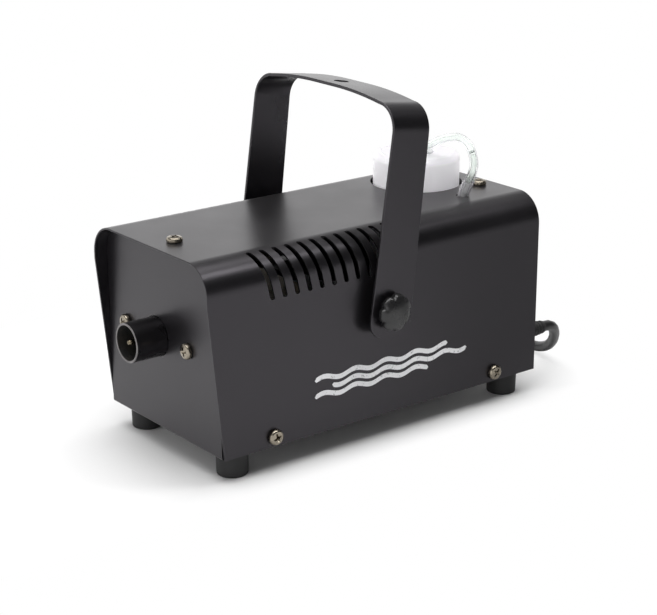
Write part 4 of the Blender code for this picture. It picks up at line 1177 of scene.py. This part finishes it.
def build_cover():
    """Top and two sides folded from one sheet with eased edges, slots and holes."""
    stations = ((0.0, "front"), (0.0, "rear"), (EDGE, "back"), (SHEET - EDGE, "back"),
                (SHEET, "rear"), (SHEET, "front"), (SHEET - EDGE, "lip"), (EDGE, "lip"))
    outlines = {inset: case_outline(inset) for inset, place in stations}
    rings = []
    for i in range(len(outlines[0.0])):
        ring = []
        for inset, place in stations:
            x, z = outlines[inset][i]
            lip = visor_edge(z)
            y = {"front": lip + EDGE, "lip": lip, "rear": REAR - EDGE, "back": REAR}[place]
            ring.append((x, y, z))
        rings.append(ring)
    cover = object_from("cover_shell", lofted(rings))

    bm = bmesh.new()
    for side in (1, -1):
        for k in range(SLOT_COUNT):
            add_slot(bm, side, SLOT_FIRST + SLOT_PITCH * k)
    combine(cover, bm)

    cap = middle("fluid_cap")
    studs = [(STUD_HOLE_RADIUS, "X", (side * HALF_WIDTH, PIVOT.y, PIVOT.z), 40, CUT) for side in (1, -1)]
    combine(cover, holes(*cover_screw_holes(HALF_WIDTH, CUT), *studs,
                         (CAP_HOLE_RADIUS, "Z", (cap.x, cap.y, TOP), 96, CUT),
                         (SLEEVE_RADIUS + 0.0005, "Z", HOSE_EXIT, 40, CUT)))
    dress(cover, ["black_coat"], "root", ["cover"], "black_coat")


def chassis_outline():
    """The chassis seen from its side, along Y and up Z: a base with two walls and their flanges."""
    top = TOP - SHEET - GAP
    front = FRONT_PANEL + FOLD
    rear = REAR_PANEL - FOLD
    low = BOTTOM + FOLD
    high = top - FOLD
    inside = FOLD - SHEET
    rear_flange = REAR_PANEL - FLANGE_DEPTH
    front_flange = FRONT_PANEL + FLANGE_DEPTH
    return [*arc((front, low), FOLD, 180, 270, 6), *arc((rear, low), FOLD, 270, 360, 6),
            *arc((rear, high), FOLD, 0, 90, 6), (rear_flange, top), (rear_flange, top - SHEET),
            *arc((rear, high), inside, 90, 0, 4), *arc((rear, low), inside, 360, 270, 4),
            *arc((front, low), inside, 270, 180, 4), *arc((front, high), inside, 180, 90, 4),
            (front_flange, top - SHEET), (front_flange, top), *arc((front, high), FOLD, 90, 180, 6)]


def build_chassis():
    """Front panel, base and rear panel folded from one sheet, with rounded folds."""
    half = HALF_WIDTH - SHEET - GAP
    chassis = object_from("chassis_tray", prism(chassis_outline(), "X", -half, half))
    envelope = [(x, z if z > BOTTOM else z - 0.002) for x, z in case_outline(SHEET + GAP)]
    combine(chassis, prism(envelope, "Y", FRONT, REAR), "INTERSECT")

    bm = bmesh.new()
    for side in (1, -1):
        low, high = sorted((side * half, side * (half - SHEET)))
        add_box(bm, (low, FRONT_PANEL + FLANGE_END, BOTTOM + SHEET / 2),
                (high, REAR_PANEL - FLANGE_END, BOTTOM + FLANGE_HEIGHT))
    combine(chassis, bm, "UNION")

    def panel_hole(node, panel, radius, segments):
        """A hole through the front or rear panel where a node goes through it."""
        centre = middle(node)
        return radius, "Y", (centre.x, panel, centre.z), segments, CUT

    nozzle_radius = (NOZZLE_HIGH.x - NOZZLE_LOW.x) / 2
    feet = [middle(f"foot_{place}_{side}") for place in ("front", "rear") for side in ("left", "right")]
    cap = middle("fluid_cap")
    bm = holes(panel_hole("nozzle_tube", FRONT_PANEL, nozzle_radius + 0.0004, 64),
               panel_hole("nozzle_screw_left", FRONT_PANEL, SCREW_HOLE_RADIUS, 32),
               panel_hole("nozzle_screw_right", FRONT_PANEL, SCREW_HOLE_RADIUS, 32),
               *((SCREW_HOLE_RADIUS, "Z", (foot.x, foot.y, BOTTOM), 32, CUT) for foot in feet),
               *cover_screw_holes(half, DEEP_CUT),
               (CAP_HOLE_RADIUS, "Z", (cap.x, cap.y, TOP), 96, DEEP_CUT),
               panel_hole("strain_relief", REAR_PANEL, CORD_HOLE_RADIUS, 40),
               panel_hole("remote_socket", REAR_PANEL, SOCKET_HOLE_RADIUS, 48))
    switch = middle("switch_housing")
    switch.y = REAR_PANEL
    add_box(bm, switch - SWITCH_HOLE_HALF, switch + SWITCH_HOLE_HALF)
    combine(chassis, bm)
    dress(chassis, ["black_coat"], "root", ["chassis"], "black_coat")


def build_marking():
    """A plain graphic printed on the right side: three drifting mist lines."""
    outer = HALF_WIDTH + MARK_THICKNESS
    inner = HALF_WIDTH + MARK_BACK
    bm = bmesh.new()
    for start, end, z in MARK_STROKES:
        rings = []
        for k in range(MARK_STEPS + 1):
            y = start + (end - start) * k / MARK_STEPS
            from_end = min(y - start, end - y, MARK_HALF)
            reach = math.sqrt(max(0.0, MARK_HALF * MARK_HALF - (MARK_HALF - from_end) ** 2))
            reach = max(MARK_THINNEST, reach)
            line = z + MARK_HEIGHT * math.sin(2 * math.pi * y / MARK_WAVE)
            rings.append([(outer, y, line - reach), (outer, y, line + reach),
                          (inner, y, line + reach), (inner, y, line - reach)])
        add_loft(bm, rings)
    piece("mist_marking", bm, "white_ink", "root", weighted=False)


class FogBuildCase(bpy.types.Operator):
    """Cover, chassis and the printed graphic"""

    bl_idname = "fog_machine.build_case"
    bl_label = "Case"

    def execute(self, context):
        build_cover()
        build_chassis()
        build_marking()
        return {"FINISHED"}


# ---------------------------------------------------------------- screws and feet

def screw_profile(length):
    """Half the outline of a pan-head screw along +Z, its head on 0, with a threaded shank."""
    radius = SCREW_HEAD_RADIUS
    height = SCREW_HEAD_HEIGHT
    shank = SCREW_SHANK_RADIUS
    profile = [(0, -length), (shank * 0.7, -length)]
    for k in range(int((length - 0.0006) / SCREW_PITCH)):
        low = -length + 0.0003 + SCREW_PITCH * k
        profile += [(shank * 0.82, low), (shank, low + SCREW_PITCH * 0.4),
                    (shank * 0.82, low + SCREW_PITCH * 0.8)]
    profile += [(shank * 0.9, 0.0), (radius - 0.0002, 0.0), (radius, 0.0002), (radius, height * 0.30)]
    for a, b in arc((0, 0), 1.0, 0, 90, 8)[1:]:
        profile.append((radius * (0.72 + 0.28 * a), height * (0.30 + 0.56 * b)))
    return profile + [(radius * 0.50, height * 0.945), (radius * 0.25, height * 0.99), (0, height)]


def screw_mesh(length):
    """A pan-head screw with a cross recess."""
    screw = object_from("screw_pattern", turned(screw_profile(length), "Z", segments=40))
    arm = SCREW_HEAD_RADIUS * 0.66
    wide = SCREW_HEAD_RADIUS * 0.135
    floor = SCREW_HEAD_HEIGHT * 0.20
    above = SCREW_HEAD_HEIGHT + 0.0005
    for turn in (0, 90):
        spin = Matrix.Rotation(math.radians(turn), 3, "Z")
        rings = []
        for z, scale in ((floor, 0.30), (above, 1.05)):
            reach = arm * scale
            ring = [(-reach, -wide), (reach, -wide), (reach, wide), (-reach, wide)]
            rings.append([spin @ Vector((a, b, z)) for a, b in ring])
        combine(screw, lofted(rings))
    cone = [(0, floor), (wide * 1.1, floor), (wide * 2.3, above), (0, above)]
    combine(screw, turned(cone, "Z", segments=20))
    mesh = screw.data
    bpy.data.objects.remove(screw, do_unlink=True)
    return mesh


FACINGS = {
    "up": (2, 1, Matrix.Identity(3)),
    "down": (2, -1, Matrix.Rotation(math.pi, 3, "X")),
    "right": (0, 1, Matrix.Rotation(math.pi / 2, 3, "Y")),
    "left": (0, -1, Matrix.Rotation(-math.pi / 2, 3, "Y")),
    "front": (1, -1, Matrix.Rotation(math.pi / 2, 3, "X")),
}
SCREWS = (
    ("top_screw_front", "up", "cover", 28), ("top_screw_rear", "up", "cover", 61),
    ("side_screw_front_right", "right", "cover", 20), ("side_screw_rear_right", "right", "cover", 52),
    ("side_screw_front_left", "left", "cover", 8), ("side_screw_rear_left", "left", "cover", 71),
    ("nozzle_screw_left", "front", "nozzle", 35), ("nozzle_screw_right", "front", "nozzle", 12),
    ("foot_screw_front_left", "down", "foot", 15), ("foot_screw_front_right", "down", "foot", 40),
    ("foot_screw_rear_left", "down", "foot", 66), ("foot_screw_rear_right", "down", "foot", 83))


def place_screw(node, facing, mesh, turned_by):
    """One screw where the frame has it, its head facing outwards."""
    low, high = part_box(node)
    seat = (low + high) / 2
    axis, sign, turn = FACINGS[facing]
    seat[axis] = high[axis] - SCREW_HEAD_HEIGHT if sign > 0 else low[axis] + SCREW_HEAD_HEIGHT
    obj = put(f"{node}_detail", mesh)
    turn = turn @ Matrix.Rotation(math.radians(turned_by), 3, "Z")
    obj.matrix_world = Matrix.Translation(seat) @ turn.to_4x4()
    dress(obj, ["nickel_screw"], "root", [node], "nickel_screw", weighted=False)


class FogBuildScrews(bpy.types.Operator):
    """Cover, nozzle and foot screws"""

    bl_idname = "fog_machine.build_screws"
    bl_label = "Screws"

    def execute(self, context):
        meshes = {kind: screw_mesh(length) for kind, length in SCREW_LENGTHS.items()}
        for node, facing, kind, turned_by in SCREWS:
            place_screw(node, facing, meshes[kind], turned_by)
        return {"FINISHED"}


def build_foot(node):
    """A round rubber foot with a recess for its screw."""
    low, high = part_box(node)
    radius = (high.x - low.x) / 2
    corner = (radius - FOOT_TAPER - FOOT_ROUND, FOOT_ROUND)
    profile = [(SCREW_HOLE_RADIUS, FOOT_RECESS_TOP), (FOOT_RECESS_RADIUS, FOOT_RECESS_TOP),
               (FOOT_RECESS_RADIUS, 0.0003), (FOOT_RECESS_RADIUS + 0.0003, 0.0),
               *arc(corner, FOOT_ROUND, 270, 360, 6), (radius - 0.0003, high.z - 0.0016),
               (radius, high.z - 0.0006), (radius - 0.0002, high.z), (SCREW_HOLE_RADIUS, high.z)]
    bm = turned(profile, "Z", ((low.x + high.x) / 2, (low.y + high.y) / 2, 0.0), 56)
    piece(f"{node}_detail", bm, "rubber", "root", [node], "rubber")


class FogBuildFeet(bpy.types.Operator):
    """Four round rubber feet"""

    bl_idname = "fog_machine.build_feet"
    bl_label = "Feet"

    def execute(self, context):
        for place in ("front", "rear"):
            for side in ("left", "right"):
                build_foot(f"foot_{place}_{side}")
        return {"FINISHED"}


# ---------------------------------------------------------------- nozzle

def build_nozzle_tube(centre):
    """The tube: coated outside, bare at its rim and sooty inside."""
    radius = (NOZZLE_HIGH.x - NOZZLE_LOW.x) / 2
    bore = radius - NOZZLE_WALL
    rim = NOZZLE_LOW.y
    rear = NOZZLE_HIGH.y
    ease = NOZZLE_EASE
    outside = [(radius - ease * (1 - math.cos(math.radians(a))), rim + ease * (1 - math.sin(math.radians(a))))
               for a in (90, 60, 30, 0)]
    profile = [(bore, rear), (bore, rim + ease), (bore + 0.0001, rim + 0.0001), (bore + ease, rim), *outside,
               (radius, rim + 0.004), (radius, FRONT_PANEL - 0.002), (radius, rear)]
    tube = object_from("nozzle_body", turned(profile, "Y", centre, 96))
    dress(tube, ["nozzle_coat", "nozzle_rim", "nozzle_bore"], "root", ["nozzle_tube"], "nozzle_coat")
    for face in tube.data.polygons:
        where = face.center
        reach = math.hypot(where.x - centre[0], where.z - centre[2])
        if where.y < rim + ease and reach > bore + 0.00005:
            face.material_index = 1
        elif reach < bore + 0.0002:
            face.material_index = 2


def build_nozzle_tip(centre):
    """The brass tip: a fine hole in a slim stem, on a wider collar."""
    tip = TIP_LOW.y
    end = TIP_HIGH.y
    collar = FRONT_PANEL - 0.0040
    profile = [(0, tip + 0.0030), (0.00035, tip + 0.0028), (0.00040, tip + 0.0002), (0.00055, tip),
               (0.00095, tip), (0.0011, tip + 0.00015), (0.0016, tip + 0.0014), (0.0017, tip + 0.0018),
               (0.0017, collar), (0.0032, collar + 0.0012), (0.0034, collar + 0.0015),
               (0.0034, collar + 0.0075), (0.0051, collar + 0.0075), (0.0052, collar + 0.0077),
               (0.0052, end), (0, end)]
    piece("nozzle_tip_detail", turned(profile, "Y", centre, 40), "brass", "root", ["nozzle_tip"], "brass")


class FogBuildNozzle(bpy.types.Operator):
    """Nozzle tube with its bare rim, and the brass tip inside"""

    bl_idname = "fog_machine.build_nozzle"
    bl_label = "Nozzle"

    def execute(self, context):
        place = middle("nozzle_tube")
        centre = (place.x, 0.0, place.z)
        build_nozzle_tube(centre)
        build_nozzle_tip(centre)
        return {"FINISHED"}


# ---------------------------------------------------------------- handle and knobs

def handle_sections():
    """Stations (x, z, outward normal, half width) along the strip, from one end to the other."""
    outer_x = HANDLE_INNER + HANDLE_SHEET
    span = outer_x - HANDLE_CORNER
    shoulder_z = HANDLE_TOP - HANDLE_ARCH - HANDLE_CORNER
    top_half = HANDLE_WIDTH_TOP / 2
    pivot_half = HANDLE_WIDTH_PIVOT / 2
    leg_z = HANDLE_END + HANDLE_END_RADIUS
    half = []
    for k in range(11):
        angle = math.pi / 2 * k / 10
        width = pivot_half - HANDLE_END_RADIUS * (1 - math.sin(angle))
        half.append((outer_x, HANDLE_END + HANDLE_END_RADIUS * (1 - math.cos(angle)), (1, 0), width))
    for k in range(1, 9):
        t = k / 8
        width = pivot_half + (top_half - pivot_half) * t
        half.append((outer_x, leg_z + (shoulder_z - leg_z) * t, (1, 0), width))
    for cos, sin in arc((0, 0), 1.0, 0, 90, 14)[1:]:
        half.append((span + HANDLE_CORNER * cos, shoulder_z + HANDLE_CORNER * sin, (cos, sin), top_half))
    for k in range(7, -1, -1):
        t = k / 8
        x = HANDLE_FLAT + (span - HANDLE_FLAT) * t
        half.append((x, HANDLE_TOP - HANDLE_ARCH * t * t, (0, 1), top_half))
    half.append((0.0, HANDLE_TOP, (0, 1), top_half))
    return half + [(-x, z, (-n[0], n[1]), w) for x, z, n, w in reversed(half[:-1])]


class FogBuildHandle(bpy.types.Operator):
    """Bent strip handle with its hanging hole"""

    bl_idname = "fog_machine.build_handle"
    bl_label = "Handle"

    def execute(self, context):
        ease = HANDLE_EASE
        back = HANDLE_SHEET
        corners = ((0, -ease, -1), (0, -ease, 1), (ease, 0, 1), (back - ease, 0, 1),
                   (back, -ease, 1), (back, -ease, -1), (back - ease, 0, -1), (ease, 0, -1))
        rings = []
        for x, z, normal, half_width in handle_sections():
            rings.append([(x - normal[0] * depth, HANDLE_OFFSET + side * (half_width + inset),
                           z - normal[1] * depth) for depth, inset, side in corners])
        handle = object_from("handle_strip", lofted(rings))
        studs = [(STUD_CLEARANCE, "X", (side * HANDLE_INNER, 0, 0), 40, CUT) for side in (1, -1)]
        combine(handle, holes((HANG_HOLE_RADIUS, "Z", (0, HANDLE_OFFSET, HANDLE_TOP), 56, CUT), *studs))
        place = Matrix.Translation(PIVOT) @ Matrix.Rotation(-math.radians(HANDLE_LEAN), 4, "X")
        handle.data.transform(place)
        dress(handle, ["handle_coat"], "handle", ["handle"], "handle_coat")
        return {"FINISHED"}


def knob_rings(side, start, depth, radius):
    """Rings of a lobed knob with a domed face."""
    rings = []
    count = KNOB_LOBES * 16
    for share, scale, strength in KNOB_STATIONS:
        ring = []
        for k in range(count):
            angle = 2 * math.pi * k / count
            notch = max(0.0, math.cos(KNOB_LOBES * angle)) ** 2.2
            reach = radius * scale * (1.0 - KNOB_NOTCH * strength * notch)
            ring.append((side * (start + depth * share), PIVOT.y + reach * math.cos(angle),
                         PIVOT.z + reach * math.sin(angle)))
        rings.append(ring)
    return rings


def build_knob(side, label):
    """One thumb knob and the washer behind it."""
    low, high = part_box(f"knob_{label}")
    start = min(abs(low.x), abs(high.x))
    bm = lofted(knob_rings(side, start, high.x - low.x, (high.z - low.z) / 2))
    piece(f"knob_{label}_lobes", bm, "black_plastic", f"{label}_knob", [f"knob_{label}"], "black_plastic", 55)

    low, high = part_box(f"washer_{label}")
    near = low.x if side > 0 else high.x
    thick = (high.x - low.x) * side
    outer = (high.z - low.z) / 2
    ease = WASHER_EASE
    profile = [(STUD_CLEARANCE, 0), (outer - ease, 0), (outer, ease * side), (outer, thick - ease * side),
               (outer - ease, thick), (STUD_CLEARANCE, thick)]
    piece(f"washer_{label}_detail", turned(profile, "X", (near, PIVOT.y, PIVOT.z), 56), "zinc_steel",
          f"{label}_washer", [f"washer_{label}"], "nickel_screw")


class FogBuildKnobs(bpy.types.Operator):
    """Thumb knobs and their washers"""

    bl_idname = "fog_machine.build_knobs"
    bl_label = "Knobs"

    def execute(self, context):
        build_knob(1, "right")
        build_knob(-1, "left")
        return {"FINISHED"}


# ---------------------------------------------------------------- fluid system

def build_cap():
    """White screw cap with a rounded top edge and a faint disc."""
    centre = middle("fluid_cap")
    centre.z = 0.0
    radius = (CAP_HIGH.x - CAP_LOW.x) / 2
    top = CAP_HIGH.z
    bottom = CAP_LOW.z
    flat = radius - CAP_CORNER
    profile = [(CAP_BORE, top - 0.0002), (CAP_BORE + 0.0002, top), (flat - 0.0012, top),
               (flat - 0.0009, top - 0.00022), (flat - 0.0004, top - 0.00022),
               *arc((flat, top - CAP_CORNER - 0.0001), CAP_CORNER, 90, 0, 12),
               (radius, top - 0.012), (radius, bottom + 0.0004), (radius - 0.0003, bottom),
               (radius - CAP_WALL, bottom), (radius - CAP_WALL, top - CAP_SKIN), (CAP_BORE, top - CAP_SKIN)]
    piece("fluid_cap_shell", turned(profile, "Z", centre, 128), "white_plastic", "fluid_cap", ["fluid_cap"],
          "white_plastic", 28)


def tube_mesh(points, outer, inner):
    """A tube with a wall, open inside."""
    return lofted(pipe_rings(points, outer) + pipe_rings(points, inner)[::-1], closed=True)


def build_hose():
    """Clear hose with its wall, the fluid standing in it, a ring at the fluid's end and the sleeve."""
    points = smooth_route(HOSE_GUIDE, HOSE_SPACING)
    piece("clear_hose_wall", tube_mesh(points, HOSE_RADIUS, HOSE_BORE), "clear_hose", "root",
          ["fluid_hose"], "clear_hose", 60, False)

    highest = max(range(len(points)), key=lambda i: points[i].z)
    falling = points[highest:]
    fluid = [p for p in falling if p.z < FLUID_LEVEL]
    piece("hose_fluid_column", lofted(pipe_rings(fluid, HOSE_BORE - FLUID_GAP)), "hose_fluid", "root",
          slot="clear_hose", angle=60, weighted=False)
    ring = [p for p in falling if FLUID_LEVEL < p.z < FLUID_LEVEL + MENISCUS]
    piece("hose_meniscus", lofted(pipe_rings(ring, HOSE_BORE - FLUID_GAP)), "silicone", "root",
          slot="silicone", angle=60, weighted=False)

    sleeve = [p for p in falling if SLEEVE_LOW < p.z < SLEEVE_HIGH]
    piece("clear_sleeve", tube_mesh(sleeve, SLEEVE_RADIUS, HOSE_RADIUS + 0.0002), "sleeve_plastic", "root",
          ["hose_sleeve"], "clear_hose", 60, False)


class FogBuildFluid(bpy.types.Operator):
    """Cap, clear hose, fluid and sleeve"""

    bl_idname = "fog_machine.build_fluid"
    bl_label = "Fluid system"

    def execute(self, context):
        build_cap()
        build_hose()
        return {"FINISHED"}


# ---------------------------------------------------------------- rear fittings

def switch_rings(centre, face, half_width, half_height):
    """Rings of the switch housing, from its neck inside the panel round the bezel into the well."""
    proud = SWITCH_HIGH.y - face
    neck = SWITCH_NECK
    stations = ((neck, SWITCH_LOW.y, 0.0004), (neck, face, 0.0004), (0, face, 0.0012),
                (0, face + proud * 0.5, 0.0012), (0.0002, face + proud * 0.82, 0.0012),
                (0.0008, face + proud, 0.0010), (2 * neck - 0.0003, face + proud, 0.0006),
                (2 * neck, face + proud - 0.0003, 0.0005), (2 * neck, face - 0.008, 0.0005))
    rings = []
    for inset, y, radius in stations:
        low = (centre.x - half_width + inset, centre.z - half_height + inset)
        high = (centre.x + half_width - inset, centre.z + half_height - inset)
        rings.append([(a, y, b) for a, b in rounded_box(low, high, radius)])
    return rings


def build_switch():
    """Rocker switch: bezel and well, the rocker, and its line and ring marks."""
    centre = middle("switch_housing")
    face = REAR_PANEL + GAP
    half_width = (SWITCH_HIGH.x - SWITCH_LOW.x) / 2
    half_height = (SWITCH_HIGH.z - SWITCH_LOW.z) / 2
    bm = lofted(switch_rings(centre, face, half_width, half_height))
    piece("switch_body", bm, "switch_plastic", "root", ["switch_housing"], "black_plastic")

    low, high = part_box("power_rocker")
    wide = (high.x - low.x) / 2
    tall = half_height - 2 * SWITCH_NECK - 0.0005
    outline = [(-0.0040, -tall * 0.72), (0.0008, -tall), (0.0030, -tall * 0.97), (0.0033, -tall * 0.90)]
    outline += [(0.0021 + 0.0012 * (k / 6) ** 2, tall * 0.90 * k / 6) for k in range(-5, 6)]
    outline += [(0.0033, tall * 0.90), (0.0030, tall * 0.97), (0.0008, tall), (-0.0040, tall * 0.72)]
    rocker = object_from("rocker_key", prism(outline, "X", -wide, wide))
    soften(rocker, 0.00025)
    pivot = Vector((centre.x, face - 0.0006, centre.z))
    tip = Matrix.Translation(pivot) @ Matrix.Rotation(math.radians(ROCKER_TIP), 4, "X")
    rocker.data.transform(tip)
    dress(rocker, ["rocker_plastic"], "power_rocker", ["power_rocker"], "rocker_plastic")

    bm = bmesh.new()
    add_box(bm, (-0.0003, ROCKER_FACE - 0.0003, -tall * 0.62), (0.0003, ROCKER_FACE + 0.00022, -tall * 0.28))
    profile = [(0.0010, -0.0002), (0.0015, -0.0002), (0.0015, 0.00022), (0.0010, 0.00022)]
    add_turned(bm, profile, "Y", (0.0, ROCKER_FACE, tall * 0.47), 32)
    marks = object_from("rocker_marks", bm)
    marks.data.transform(tip)
    dress(marks, ["white_ink"], "power_rocker", weighted=False)


def build_socket():
    """Remote socket: flange, threaded barrel, well and three pins."""
    centre = middle("remote_socket")
    centre.y = REAR_PANEL
    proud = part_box("remote_socket")[1].y - REAR_PANEL
    profile = [(0, -0.010), (SOCKET_BARREL, -0.010), (SOCKET_BARREL, GAP), (0.0090, GAP),
               (0.0092, GAP + 0.0002), (0.0092, 0.0018), (0.0089, 0.0021), (0.0079, 0.0023)]
    step = (proud - 0.0030) / SOCKET_THREADS
    for k in range(SOCKET_THREADS):
        low = 0.0024 + step * k
        profile += [(0.0075, low), (0.0078, low + step * 0.35), (0.0078, low + step * 0.65),
                    (0.0075, low + step)]
    profile += [(0.0076, proud - 0.0002), (0.0074, proud), (0.0062, proud), (0.0060, proud - 0.0002),
                (0.0060, SOCKET_WELL), (0, SOCKET_WELL)]
    piece("socket_shell", turned(profile, "Y", centre, 64), "switch_plastic", "root", ["remote_socket"],
          "black_plastic")

    bm = bmesh.new()
    pin = [(0, -0.0062), (0.00055, -0.0062), (0.00055, 0.0016), (0.0003, 0.0020), (0, 0.0021)]
    for angle in (90, 210, 330):
        spoke = Vector((math.cos(math.radians(angle)), 0.0, math.sin(math.radians(angle))))
        add_turned(bm, pin, "Y", centre + 0.0030 * spoke, 20)
    piece("socket_pins", bm, "brass", "root", slot="brass", weighted=False)


class FogBuildRear(bpy.types.Operator):
    """Power rocker switch and remote socket"""

    bl_idname = "fog_machine.build_rear"
    bl_label = "Rear fittings"

    def execute(self, context):
        build_switch()
        build_socket()
        return {"FINISHED"}


# ---------------------------------------------------------------- inner parts

CARRIED = {
    "zinc_steel": ("cartridge_heater", "heater_front_plate", "heater_rear_bracket", "pump_yoke",
                   "pump_plunger"),
    "cast_aluminium": ("heater_block",),
    "glass_cloth": ("heater_jacket",),
    "brass": ("heater_inlet_fitting", "pickup_filter", "pump_outlet"),
    "black_plastic": ("pump_inlet", "spacer_bush_left", "spacer_bush_right", "thermostat"),
    "nickel_screw": ("knob_stud_left", "knob_stud_right", "rivet_nut_left", "rivet_nut_right"),
    "circuit_green": ("circuit_board",),
    "coil_winding": ("pump_coil",),
    "tank_plastic": ("tank",),
    "silicone": ("cap_seal", "hose_grommet", "pressure_hose"),
    "white_plastic": ("terminal_block",),
}


class FogBuildInside(bpy.types.Operator):
    """Finishes of the parts carried over from the frame"""

    bl_idname = "fog_machine.build_inside"
    bl_label = "Inner parts"

    def execute(self, context):
        for name, nodes in CARRIED.items():
            for node in nodes:
                shade_faces(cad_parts[node].data, [name], 35)
        return {"FINISHED"}


# ---------------------------------------------------------------- add-on

OPERATORS = (FogBuildStage, FogBuildCord, FogBuildCase, FogBuildScrews, FogBuildFeet, FogBuildNozzle,
             FogBuildHandle, FogBuildKnobs, FogBuildFluid, FogBuildRear, FogBuildInside)
GROUP_CLASSES = (FogCoatSettings, FogFittingSettings, FogCordSettings, FogStageSettings, FogMachineSettings)


class FogMachinePanel(bpy.types.Panel):
    """Lists the machine's pieces and settings"""

    bl_idname = "VIEW3D_PT_fog_machine"
    bl_label = "Fog machine"
    bl_space_type = "VIEW_3D"
    bl_region_type = "UI"
    bl_category = "Fog machine"

    def draw(self, context):
        layout = self.layout
        for operator in OPERATORS:
            layout.operator(operator.bl_idname)
        held = context.scene.fog_machine
        for part in (held.coat, held.fittings, held.cord, held.stage):
            box = layout.box()
            for name in part.__annotations__:
                box.prop(part, name)


def register():
    """Add the classes and the scene's settings."""
    for made in (*GROUP_CLASSES, *OPERATORS, FogMachinePanel):
        bpy.utils.register_class(made)
    bpy.types.Scene.fog_machine = PointerProperty(type=FogMachineSettings)


def unregister():
    """Remove the scene's settings and the classes."""
    del bpy.types.Scene.fog_machine
    for made in reversed((*GROUP_CLASSES, *OPERATORS, FogMachinePanel)):
        bpy.utils.unregister_class(made)


def main():
    """Build everything in order."""
    register()
    for operator in OPERATORS:
        space, name = operator.bl_idname.split(".")
        getattr(getattr(bpy.ops, space), name)()


if __name__ == "__main__":
    main()
